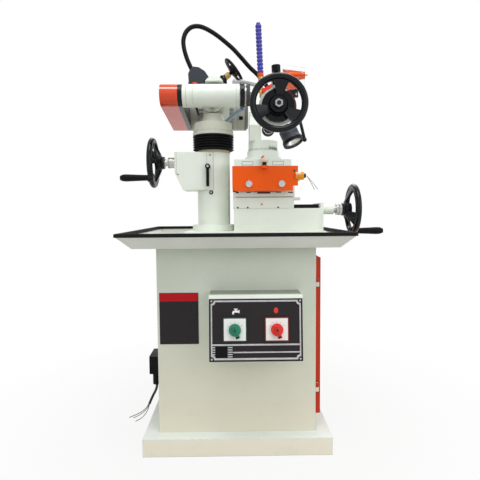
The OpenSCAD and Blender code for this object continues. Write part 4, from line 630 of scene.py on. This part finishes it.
# %% Control panel marks
PRINT_T = 0.0003
SLOPE = math.atan(15 / 176)
PANEL_OUT = np.array([0, -math.cos(SLOPE), math.sin(SLOPE)])
PANEL_UP = np.array([0, math.sin(SLOPE), math.cos(SLOPE)])
PANEL_FOOT = mm((0, -330, 301))
PANEL_CORNER = PANEL_FOOT + mm((-78, 0, 0)) + PANEL_UP * 0.17564 + PANEL_OUT * 0.00195


def box(x0, y0, x1, y1):
    """Corners of a rectangle given in millimetres."""
    return mm([(x0, y0), (x1, y0), (x1, y1), (x0, y1)])


def arc(angles):
    """Points of a circle of radius one at some angles."""
    return np.stack([np.cos(angles), np.sin(angles)], 1)


def rim(outer, inner, at, out, up, depth):
    """Flat ring between two outlines with the same number of points: four loops joined into a closed band."""
    loops = [(outer, 0), (outer, depth), (inner, depth), (inner, 0)]
    return np.vstack([in_plane(o, at, out, up, d) for o, d in loops]), ring_faces(len(loops), len(outer), True)


def on_panel(outline, depth=PRINT_T):
    return slab(outline, PANEL_CORNER, PANEL_OUT, PANEL_UP, depth)


def panel_box(u0, v0, u1, v1):
    """Rectangle counted to the right and down from the panel's corner."""
    return on_panel(box(u0, -v1, u1, -v0))


def panel_oval(u, v, a, b, depth=PRINT_T, steps=32):
    """Ellipse round a point, counted as panel_box counts."""
    t = np.linspace(0, 2 * np.pi, steps, endpoint=False)
    return on_panel(mm(np.array([u, -v]) + arc(t) * [a, -b]), depth)


def hollow_corners(u0, v0, u1, v1, r, steps=7):
    """Rectangle whose corners are quarter circles cut inwards, starting at the lower left."""
    t = np.linspace(0, np.pi / 2, steps)
    c, s = r * np.cos(t), r * np.sin(t)
    corners = [(u0 + s, v1 - c), (u1 - c, v1 - s), (u1 - s, v0 + c), (u0 + c, v0 + s)]
    return mm(np.vstack([np.stack([u, -v], 1) for u, v in corners]))


SILVER = bare_metal("silver_print", (206, 206, 208), 0.42, (2, 2, 2), 0.04)
STRIPE_TOPS, STRIPE_H = (133.4, 139.8, 146.2, 152.6, 159.0), 3
stripes = [panel_box(u0, v, u1, v + STRIPE_H) for v in STRIPE_TOPS for u0, u1 in ((8.8, 16.6), (52.0, 65.0))]
bars = [panel_box(8.4, 125.6, 253.6, 130.2), panel_box(66.0, 147.2, 253.6, 150.6)]
border = rim(hollow_corners(5, 4, 257, 169.8, 9), hollow_corners(8.8, 8.6, 253.2, 164.6, 9), PANEL_CORNER, PANEL_OUT,
             PANEL_UP, PRINT_T)
corner_marks = [panel_oval(u, v, 2.6, 2.6, steps=20) for u in (7.0, 255.0) for v in (6.0, 168.0)]
piece("panel_border", joined([border] + stripes + bars + corner_marks), "stand", SILVER)
piece("panel_bare_square", panel_box(18, 132, 50.5, 163), "stand", BLACK)
TAP_AT, WHEEL_AT = np.array([75, 34]), (187.5, 33)
TAP = np.array([(-10, 9), (-10, 2.5), (-7, -1), (-2.6, -1), (-2.6, -4), (-5.5, -5.4), (-5.5, -7), (5.5, -7),
                (5.5, -5.4), (2.6, -4), (2.6, -1), (10.5, -3.4), (10.5, 6.4), (5, 4.2), (-4, 4.2), (-5, 5.2),
                (-5, 9)])
piece("tap_mark", on_panel(mm((TAP_AT + TAP) * [1, -1])), "stand", WHITE)
wheel_mark = [panel_oval(*WHEEL_AT, 6.2, 8.4), panel_oval(*WHEEL_AT, 3.2, 5.2, 0.0005)]
piece("wheel_mark", joined(wheel_mark), "stand", RED)
print("panel border with", len(stripes), "stripes")

# %% [markdown]
# The two cam switches sit on white plates with a coloured surround. Their lever knobs carry a darker bar with a
# black tip, and a small screw. A plain two-colour plate is fixed beside the panel. A grey slab on the rear of the
# control box's top is a painted shadow, standing for the shade that the tray's overhang casts there.

# %% Switch surrounds and bare plate
SWITCHES = (("coolant", -0.006, -68, "green_plastic", (18, 62, 48), (14, 104, 80)),
            ("motor", 0.111, -70, "red_plastic", (128, 20, 20), (190, 28, 20)))
SWITCH_UP = PANEL_FOOT + PANEL_UP * 0.091
TICK, KNOB_TIP = box(-0.3, 19.5, 0.3, 23.5), box(-5.2, -3, 5.2, 1.8)
KNOB_BAR = mm([(-4.2, -10), (4.2, -10), (3.0, 17.8), (-3.0, 17.8)])
KNOB_SCREW = mm([(3.2, 0), (3.2, 0.7), (2.6, 1.0)])
PLATE_RED = enamel("plate_red", (188, 14, 26), 0.4, 0.04, soil=0.0, shine=0.2)
# Painted shadow: a grey enamel for the shade the tray's overhang casts on the rear of the control box's top.
TRAY_SHADOW_GREY = enamel("tray_shadow_enamel", (146, 151, 140), 0.45, 0.10, 0.05, soil=0.1)


def on_front(outline, at, depth, edge=0.0):
    """Slab on a face that looks to the front."""
    return slab(outline, at, FRONT, UP, depth, edge)


def front_box(x0, z0, x1, z1, y, depth=0.0004):
    return on_front(box(x0, z0, x1, z1), (0, y, 0), depth)


def top_box(x0, y0, x1, y1, z, depth):
    """Rectangular slab on a face that looks up."""
    return slab(box(x0, y0, x1, y1), (0, 0, z), UP, BACK, depth)


def spun(outline, degrees):
    """Outline turned clockwise round its origin."""
    a = math.radians(degrees)
    return outline @ np.array([[math.cos(a), -math.sin(a)], [math.sin(a), math.cos(a)]])


def soft_square(half, r, steps=6):
    """Square of half width half with rounded corners."""
    quarter = half - r + r * arc(np.linspace(0, np.pi / 2, steps))
    turns = [np.array([[c, s], [-s, c]]) for c, s in ((1, 0), (0, 1), (-1, 0), (0, -1))]
    return np.vstack([quarter @ m for m in turns])


for name, x, turn, slot, surround_tone, bar_tone in SWITCHES:
    middle = np.array([x, 0, 0]) + SWITCH_UP
    surround = rim(soft_square(0.0335, 0.004), soft_square(0.0303, 0.003), middle + PANEL_OUT * 0.0019, PANEL_OUT,
                   PANEL_UP, 0.0056)
    piece(name + "_surround", surround, "stand", moulded(name + "_surround_plastic", surround_tone, 0.35))
    ticks = [slab(spun(TICK, turned_by), middle + PANEL_OUT * 0.0079, PANEL_OUT, PANEL_UP, PRINT_T)
             for turned_by in (-60, -30, 0, 30, 60)]
    piece(name + "_ticks", joined(ticks), "stand", BLACK)
    a = math.radians(turn)
    along_bar = np.array([math.cos(a), 0, 0]) + math.sin(a) * PANEL_UP
    tip_at = middle + along_bar * 0.0212 + PANEL_OUT * 0.0252
    marks = [slab(KNOB_TIP, tip_at, PANEL_OUT, along_bar, 0.0004),
             turned(KNOB_SCREW, middle + PANEL_OUT * 0.0252, PANEL_OUT, 20)]
    piece(name + "_knob_tip", joined(marks), name + "_switch", BLACK)
    bar = slab(KNOB_BAR, middle + PANEL_OUT * 0.0251, PANEL_OUT, along_bar, 0.0011, 0.0008)
    piece(name + "_knob_bar", bar, name + "_switch", moulded(name + "_bar_plastic", bar_tone, 0.3))
header = front_box(-229, 454.5, -115, 479, -0.23795, PRINT_T)
piece("plate_header", header, "stand", PLATE_RED)
# Painted shadow of the tray's overhang on the control box's top.
piece("box_top_shadow", top_box(-77, -300, 183, -238.5, 0.48595, 0.0004), "stand", TRAY_SHADOW_GREY)
print("switches marked")

# %% [markdown]
# Marks on a round surface, such as a graduated ring or a painted line, are small patches bent to the surface.
# Each patch is an outline in turn and height, laid out at two radii and closed.

# %% Patches on round surfaces
def wrapped(patches, at, axis, radius, depth=0.0002):
    """Patches of (angle, height) pairs on a cylinder, laid out at two radii and closed."""
    o = np.asarray(patches, float)
    shells = [round_axis(o[..., 0], o[..., 1], r, at, axis) for r in (radius, radius + depth)]
    return joined([(points, ring_faces(2, o.shape[1])) for points in np.concatenate(shells, 1)])


def graduations(count, first, last, radius, low, long_h, short_h, every=5, width=0.0005):
    """Tick outlines from a first to a last angle, with a longer one every so often."""
    angle = np.linspace(first, last, count)
    height = np.where(np.arange(count) % every == 0, long_h, short_h)
    half = width / 2 / radius
    corners = np.array([(-1, 0), (1, 0), (1, 1), (-1, 1)])
    return np.stack([angle[:, None] + half * corners[:, 0], low + height[:, None] * corners[:, 1]], -1)


def band(a0, a1, h0, h1, steps=16):
    """One patch from angle a0 to a1 and height h0 to h1, with points along both long sides."""
    a = np.linspace(a0, a1, steps)
    return np.concatenate([np.stack([a, np.full(steps, h0)], 1), np.stack([a[::-1], np.full(steps, h1)], 1)])[None]


def bearings(axis, directions):
    """Angles, as wrapped counts them, of directions square to an axis, without a jump between neighbours."""
    _, e1, e2 = cross_pair(axis)
    d = np.asarray(directions, float)
    return np.unwrap(np.arctan2(d @ e2, d @ e1))


def above_front(*degrees):
    """Directions that look to the front, raised by some degrees."""
    v = np.radians(degrees)
    return np.stack([0 * v, -np.cos(v), np.sin(v)], 1)


def graduated(name, ticks, at, axis, radius, body, sunk=0.00005):
    """Ticks made a piece on a round surface, with their feet sunk a little under it."""
    piece(name, wrapped(ticks, at, axis, radius - sunk), body, INK_AND_SHADE)


# Ink for printed ticks and seams, used also as painted shade in the saddle's gaps.
INK_AND_SHADE = moulded("engraved_ink_and_shade", (40, 40, 42), 0.5, 0.03, 2000, 0.0)
RING_R, WORK_RING_R, WORK_SWIVEL_AT = 0.064, 0.046, (0.088, -0.120, 0)
ring_ticks = graduations(91, -np.pi, np.pi, RING_R, 0.9735, 0.008, 0.0045)
graduated("swivel_graduations", ring_ticks, (*COLUMN, 0), UP, RING_R, "quill")
work_ticks = graduations(91, -np.pi, np.pi, WORK_RING_R, 0.9098, 0.009, 0.005, width=0.0007)
v = np.radians([20, 66])
ends = bearings(UP, np.stack([np.sin(v), -np.cos(v), 0 * v], 1))
dense = graduations(24, *ends, WORK_RING_R, 0.9115, 0.0130, 0.0080, 4, 0.0009)
work_ticks = np.concatenate([work_ticks, dense])
graduated("work_graduations", work_ticks, WORK_SWIVEL_AT, UP, WORK_RING_R, "work_swivel")
print("graduated rings:", len(ring_ticks), "and", len(work_ticks), "ticks")

# %% [markdown]
# Screws hold the plates. A socket screw is a short turned head with a recess, and a hexagon head is a six-sided
# slab with a chamfer. All screws of one kind on one body make a single piece.

# %% Screws
def socket_screw(at, r, h):
    """Turned head that looks to the front: a low cylinder with a rounded rim and a round recess."""
    return turned([(r, 0), (r, 0.82 * h), (0.9 * r, h), (0.56 * r, h), (0.52 * r, 0.45 * h)], at, FRONT, 24)


def hex_head(at, axis, up, r, h):
    """Six-sided slab with a small chamfer on both ends."""
    t = np.linspace(0, 2 * np.pi, 6, endpoint=False) + np.pi / 6
    return slab(r * arc(t), at, axis, up, h, 0.08 * r)


ZINC = bare_metal("zinc_screws", (190, 190, 186), 0.32, (3, 3, 3), 0.05)
BLACK_OXIDE = bare_metal("black_oxide_screws", (58, 58, 60), 0.38, (3, 3, 3), 0.05)
print("screw shapes ready")

# %% [markdown]
# A cream band on the belt guard's round front is a painted highlight, and a cream band on top of the table's
# connector is another. An orange plate shows beside the lamp's foot, and the front handwheel has a plain hexagon
# nut. These small colour breaks are what the eye uses to tell the pieces apart.

# %% Colour breaks
SPINDLE_LINE, WORK_AXIS, SOCKET = mm((0, -130, 1083)), mm((120.5, 0, 1017)), mm((0, -226, 824.5))
# Painted highlight: a thin cream band where the light glints along the guard's round front.
guard_highlight_band = band(*bearings(RIGHT, above_front(23.6, 30.8)), -0.2318, -0.1772)
piece("guard_highlight", wrapped(guard_highlight_band, SPINDLE_LINE, RIGHT, 0.03445, 0.0003), "head", CREAM_AND_HIGHLIGHT)
piece("lamp_plate", top_box(-140, -46.3, -125, 10.3, 1.1441, 0.0058), "head", ORANGE)
nut = hex_head(WORK_AXIS + [0, -0.3038, 0], FRONT, UP, 0.0122, 0.0040)
piece("handwheel_nut", nut, "work_spindle", ZINC)
STUD = mm([(6.2, 0), (6.2, 1.2), (5.4, 1.8), (3.0, 1.8), (2.8, 1.0)])
stud = turned(STUD, WORK_AXIS + [0, -0.3077, 0], FRONT, 28)
piece("handwheel_stud", stud, "work_spindle", BLACK_OXIDE)
cover = on_front(spun(box(-12.4, 55, 12.4, 86.9), -2.8), WORK_AXIS + [0, -0.2465, 0], 0.0379)
piece("plunger_cover", cover, "work_head", BLACK_IRON)
CHROME = bare_metal("chrome_caps", (222, 224, 226), 0.10, (3, 3, 3), 0.02)
KNOB_FACE = mm([(14.5, 0), (14.5, 0.8), (13.4, 2.0), (7.2, 2.8), (1.2, 3.0)])
piece("lock_knob_cap", turned(KNOB_FACE, mm((96.5, -238.2, 958)), FRONT, 36), "lock_knob", CHROME)
CONNECTOR_TIP = mm([(6.2, 200.4), (6.7, 200.8), (6.7, 206.6), (6.0, 207.3)])
piece("connector_tip", turned(CONNECTOR_TIP, SOCKET, RIGHT, 30), "table", BLACK)
# Painted highlight: a cream band along the top of the amber connector.
connector_highlight_band = band(*bearings(RIGHT, above_front(15, 125)), 0.1765, 0.1925)
piece("connector_highlight", wrapped(connector_highlight_band, SOCKET, RIGHT, 0.01195, 0.0003), "table", CREAM_AND_HIGHLIGHT)
print("colour breaks placed")

# %% [markdown]
# The table's pale ball knob has a red cap to one side, and stands on a black stub. On the saddle, a dark line
# marks the seam, and thin dark and maroon slabs under the front plate are painted shade in the gaps there. A small
# brass plug closes the oil hole, and gib screws show at the seam. A maroon sector on one side of the workhead's nose
# is painted shade.

# %% Saddle and table marks
KNOB, CAP_R, CAP_AXIS = mm((84, -241.5, 853.5)), 0.0102, (-0.62, -0.35, 0.70)
STUB = mm([(6.1, 0.3), (6.4, 0.6), (6.4, 8.5), (6.0, 9.0)])
piece("knob_stub", turned(STUB, KNOB, UP, 28), "table_lock", BLACK)
red_cap = turned(CAP_R * arc(np.linspace(0.92, 1.50, 10)), KNOB + [0, 0, 0.019], CAP_AXIS, 36)
piece("knob_cap", red_cap, "table_lock", RED)
# A maroon used as painted shade on the saddle, the workhead's nose and the shield's leg.
SHADE_MAROON = moulded("maroon_painted_shade", (92, 18, 22), 0.5, 0.1, 900, 0.1)
SADDLE_FACE = -0.19995
# Painted shade: dark slabs in the gaps under the front plate; the long low one marks the saddle's seam.
SADDLE_DARK_BOXES = ((1, 762.6, 174, 764), (33, 776, 45, 779), (121, 776, 137, 779), (0, 775, 9, 779), (159, 775, 173, 779))
seam_and_shade = [front_box(*dark_box, SADDLE_FACE) for dark_box in SADDLE_DARK_BOXES]
piece("saddle_seam_and_shade", joined(seam_and_shade), "saddle", INK_AND_SHADE)
# Painted shade: a maroon slab for a shaded tab under the front plate.
piece("saddle_maroon_shade", front_box(65.5, 773.5, 104.5, 779, SADDLE_FACE), "saddle", SHADE_MAROON)
# Painted shade: a maroon sector on the nose, where the handwheel's opening shows it dark.
sector = arc(np.radians(np.linspace(-18, 58, 24)))
nose = np.vstack([sector * 0.0541, sector[::-1] * 0.0440])
piece("nose_painted_shade", on_front(nose, WORK_AXIS + [0, -0.2619, 0], 0.0008), "work_head", SHADE_MAROON)
PLUG = mm([(3.2, 0), (3.2, 0.8), (2.6, 1.3), (0.8, 1.5)])
piece("oil_plug", turned(PLUG, mm((78.5, -199.9, 741.3)), FRONT, 24), "saddle", BRASS)
gibs = [socket_screw(mm((x, -199.9, 731.8)), 0.0026, 0.0016) for x in (6, 36, 128)]
piece("gib_screws", joined(gibs), "saddle", BLACK_OXIDE)
ROD_CAP = mm([(10.1, 0), (10.1, 1.2), (9.4, 2.1), (3.0, 2.4), (0.8, 2.4)])
caps = [turned(ROD_CAP, mm((x, -231.9, 801)), FRONT, 32) for x in (39, 136)]
piece("rod_caps", joined(caps), "table", CHROME)
print("saddle and table marked")

# %% [markdown]
# Coolant comes up through a small brass ball valve on a bracket of bare sheet. A steel rod bends up from the valve's
# pipe and carries the eye shield. The solid is one block with rods, so separate pieces of sheet, brass and rod
# stand for it.

# %% Coolant valve and shield rod
VALVE = SPINDLE_LINE + [0, 0, 0.005]
BRACKET = mm([(-8, 33.5), (14, 33.5), (14, 38.3), (31, 38.3), (77.5, 24), (79.5, 24), (79.5, 34.3), (77.5, 34.3),
              (31, 45), (-8, 45)])
VALVE_BODY = mm([(8, 77.6), (11.6, 77.6), (12.4, 79), (12.4, 84), (10.6, 86), (12.2, 88.5), (12.9, 91), (12.9, 97),
                 (12.2, 100), (10.6, 102), (12.4, 104), (12.4, 109), (11.6, 110.4), (8, 110.4)])
ELBOW = mm([(7.6, 0.002), (9, 3), (9, 11), (7.2, 13), (7.2, 40), (8.2, 41), (8.2, 48), (7, 49)])
STEM = mm([(6.5, 0), (6.5, 5), (5, 6), (5, 8.9), (3, 8.9), (2.5, 8.2)])
ROD = [(81, 45), (128, 45), (136, 46), (140.4, 50), (141.6, 59), (145, 63), (152, 64), (228, 64)]
bracket = on_front(BRACKET, SPINDLE_LINE + [0, 0.007, 0], 0.014)
strip_bracket = piece("valve_bracket", bracket, "head", TANK)
rounds = [turned(VALVE_BODY, VALVE, RIGHT, 36), turned(ELBOW, mm((81, -130, 1092.5)), UP, 32),
          turned(STEM, mm((89, -134.2, 1095)), FRONT, 28)]
hexes = [hex_head(VALVE + [x, 0, 0], RIGHT, UP, 0.0129, 0.0052) for x in (0.0788, 0.1040)]
valve = piece("brass_valve", joined(rounds + hexes), "head", BRASS)
rod_path = smooth_route([SPINDLE_LINE + mm((x, 0, z)) for x, z in ROD], 10)
shield_rod = piece("shield_rod", tube(rod_path, 0.004, 18), "head", ROD_STEEL, 60)
for made in (strip_bracket, valve, shield_rod):
    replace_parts(made, "coolant_valve")
bolts = [hex_head(mm((x, -130, 1127.8)), UP, BACK, 0.0056, 0.0045) for x in (0, 22)]
piece("bracket_bolts", joined(bolts), "head", ZINC)
print("valve of", len(valve.data.polygons), "faces")

# %% [markdown]
# The eye shield is a clear pane on an orange frame that swings on the steel rod. Frame and pane are separate
# finishes, so the single solid is replaced by two pieces. A maroon slab over the frame's lower leg is painted shade.

# %% Eye shield
HANG = mm((150, -130, 1147))
FRAME_SHAPE = mm([(0, 15.5), (70, 6.7), (70, -12.5), (52, -16), (48, -48), (48, -70), (36, -70), (36, -48), (8, -48),
                  (2, -8)])
SLEEVE = mm([(4.1, 0), (7.4, 0), (8, 0.6), (8, 69.4), (7.4, 70), (4.1, 70)])
PANE_SHAPE = mm([(1, -72), (69, -72), (69, 20), (1, 28)])
LEG_SHADE_SHAPE = mm([(18, -47.7), (35.7, -47.7), (35.7, -46), (48.3, -46), (48.3, -70.3), (18, -70.3)])
frame_plate = on_front(FRAME_SHAPE, HANG + [0, 0.004, 0], 0.008)
sleeve = turned(SLEEVE, HANG, RIGHT, 32, True)
shield_frame = piece("shield_frame", joined([frame_plate, sleeve]), "eye_shield", ORANGE)
pane_sheet = on_front(PANE_SHAPE, HANG + [0, -0.0041, 0], 0.0028, 0.0003)
pane = piece("shield_pane_sheet", pane_sheet, "eye_shield", PANE)
rivets = [socket_screw(HANG + mm((x, -6.9, z)), 0.003, 0.0012) for x, z in ((10, 11), (62, 2), (10, -40), (42, -62))]
piece("pane_screws", joined(rivets), "eye_shield", ZINC)
# Painted shade: a maroon slab over the frame's lower leg and beside it.
leg_shade = on_front(LEG_SHADE_SHAPE, HANG + [0, 0.0042, 0], 0.0083)
piece("shield_leg_shade", leg_shade, "eye_shield", SHADE_MAROON)
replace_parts(shield_frame, "eye_shield")
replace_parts(pane, "eye_shield")
print("eye shield made")

# %% [markdown]
# Inside the lamp's cup a bright reflector surrounds a small bulb, behind the glass. A black rim holds the glass.
# All are turned about the lamp's own axis.

# %% Lamp
LAMP_BACK = mm((186.5, 64, 1019))
SPIN, LEAN = math.radians(-40), math.radians(152)
LAMP_AXIS = np.array([math.sin(LEAN) * math.cos(SPIN), math.sin(LEAN) * math.sin(SPIN), math.cos(LEAN)])
DISH_T, BULB_R, BULB_H = 0.0006, 0.0085, 0.012
LAMP_RIM = mm([(30.2, 58), (30.2, 64.4), (36.5, 64.4), (38.4, 62.8), (38.4, 55), (37.6, 54.4), (37.6, 58)])
dish = np.linspace(mm((11.7, 20.6)), mm((29.3, 52.4)), 24)
dish = np.vstack([dish, dish[::-1] - [DISH_T, 0]])
piece("lamp_reflector", turned(dish, LAMP_BACK, LAMP_AXIS, 48, True), "head", CHROME)
BULB = moulded("bulb_glass", (250, 244, 222), 0.15, 0.02, 900, 0.0)
dome = arc(np.linspace(0, 1.5, 12)) * [BULB_R, BULB_H] + [0, 0.030]
bulb = np.vstack([[(BULB_R, 0.0206)], dome])
piece("lamp_bulb", turned(bulb, LAMP_BACK, LAMP_AXIS, 32), "head", BULB)
piece("lamp_rim", turned(LAMP_RIM, LAMP_BACK, LAMP_AXIS, 56, True), "head", BLACK)
print("lamp filled")

# %% [markdown]
# Covers on the column are held by screws, and a slit lets the column close on its quill, under a tan clamp ring.
# Lines could be cut into the solid. Thin raised slabs show as well and leave the solid as it is.

# %% Column marks
COLUMN_LINES = ((-70.3, 789, -69.6, 911.5, -0.1394), (-90.6, 862, -90.1, 902, -0.13895),
                (-186.4, 838, -185.9, 908, -0.13895))
COLUMN_SCREWS = (((-79.8, -138.9, 898), 0.0022, 0.0012), ((-77.3, -138.5, 781.5), 0.0068, 0.0024),
                 ((-181, -138.9, 838), 0.0021, 0.0012))
TAN = moulded("clamp_ring_tan", (186, 172, 144), 0.45, 0.06, 1200, 0.2)
CLAMP_RING = mm([(52.0, 907.0), (53.6, 907.2), (53.6, 915.6), (52.0, 915.8)])
piece("column_lines", joined([front_box(*line) for line in COLUMN_LINES]), "stand", INK_AND_SHADE)
screws = [socket_screw(mm(at), r, h) for at, r, h in COLUMN_SCREWS]
piece("column_screws", joined(screws), "stand", BLACK_OXIDE)
bright = turned(mm([(3.0, 0), (3.0, 0.9), (2.2, 1.4)]), mm((-77.3, -139.6, 781.5)), FRONT, 24)
piece("column_bright", bright, "stand", ZINC)
piece("clamp_ring", turned(CLAMP_RING, (*COLUMN, 0), UP, 96, True), "stand", TAN)
lever_screw = socket_screw(mm((-87, -156.9, 862)), 0.0038, 0.0014)
piece("lever_screw", lever_screw, "column_lever", ZINC)
print("column marked")

# %% [markdown]
# Fine seams run round the spindle housing and the motor, whose fan cowl has a dark edge. The belt is tightened by a
# small handwheel on a tilted stem. Each is turned about the axis of its own part, so it follows the round surface.

# %% Head marks
MOTOR_LINE = mm((0, 150, 1083))
SEAM = mm([(34.7, 0), (35.15, 0), (35.15, 0.6), (34.7, 0.6)])
COWL = mm([(54.8, 36), (55.4, 36.2), (55.4, 40), (46.4, 49.2), (45.8, 49.2), (54.8, 39.8)])
MOTOR_SEAM = mm([(54.8, 9.2), (55.3, 9.2), (55.3, 10), (54.8, 10)])
GRILLE = enamel("grille_enamel", (104, 104, 96), 0.5, 0.14, 0.45, drift=0.1, soil=0.3)
seams = [turned(SEAM + [0, x], SPINDLE_LINE, RIGHT, 96, True) for x in (-0.1512, 0.0035)]
piece("housing_seams", joined(seams), "head", INK_AND_SHADE)
boss_bolt = hex_head(mm((-72.5, -107.9, 1044)), FRONT, UP, 0.0068, 0.0050)
piece("boss_bolt", boss_bolt, "head", ZINC)
piece("motor_patch", front_box(15, 1057, 29, 1069, 0.1005, 0.0045), "head", BLACK)
rings = [turned(ring, MOTOR_LINE, RIGHT, 80, True) for ring in (COWL, MOTOR_SEAM)]
piece("motor_rings", joined(rings), "head", GRILLE)
TILT = math.radians(52)
TENSION_AT, TENSION_AXIS = mm((-26, -10, 1180)), (math.sin(TILT), 0, math.cos(TILT))
POST = mm([(12.2, 1144.2), (12.2, 1179.5), (11.6, 1180.3)])
BOSS = mm([(10.0, -11.8), (10.3, -11.5), (10.3, 9.4), (9.8, 9.9)])
HUB = mm([(13.5, 17.8), (20.5, 20.0), (21.5, 21.5), (21.5, 33.0), (20.5, 34.3)])
piece("tension_sleeve", turned(POST, mm((-38, -10, 0)), UP, 36), "head", BLACK_IRON)
piece("tension_nut", turned(BOSS, TENSION_AT, TENSION_AXIS, 36), "head", BRASS)
piece("tension_hub", turned(HUB, TENSION_AT, TENSION_AXIS, 48), "tension_wheel", BLACK)
print("head marked")

# %% [markdown]
# The dials of both handwheels are graduated, and the table's front shows the outlines of two slots and a hole.
# Printed ticks would need a picture, so each tick is a small patch bent to its dial.

# %% Dials and table lines
DIALS = {"lift_dial_marks": (-0.2170, (0, -0.087, 0.880), 0.017, "elevation_wheel"),
         "cross_dial_marks": (0.3260, (0, -0.129, 0.725), 0.018, "cross_wheel")}
for name, (low, at, r, body) in DIALS.items():
    ticks = graduations(60, -np.pi, np.pi * 29 / 30, r, low, 0.0060, 0.0036)
    graduated(name, ticks, at, RIGHT, r, body)
TABLE_FACE, LINE_W = -0.22995, 0.8
slots = [rim(box(x0, 855.8, x1, 867), box(x0 + LINE_W, 855.8 + LINE_W, x1 - LINE_W, 867 - LINE_W), (0, TABLE_FACE, 0),
             FRONT, UP, PRINT_T) for x0, x1 in ((18.7, 51.5), (108.5, 141.3))]
hole = turned(mm([(3.2, 0), (3.2, 0.4)]), (0.173, TABLE_FACE, 0.839), FRONT, 24)
piece("table_lines", joined(slots + [hole]), "table", INK_AND_SHADE)
print("dials and table marked")
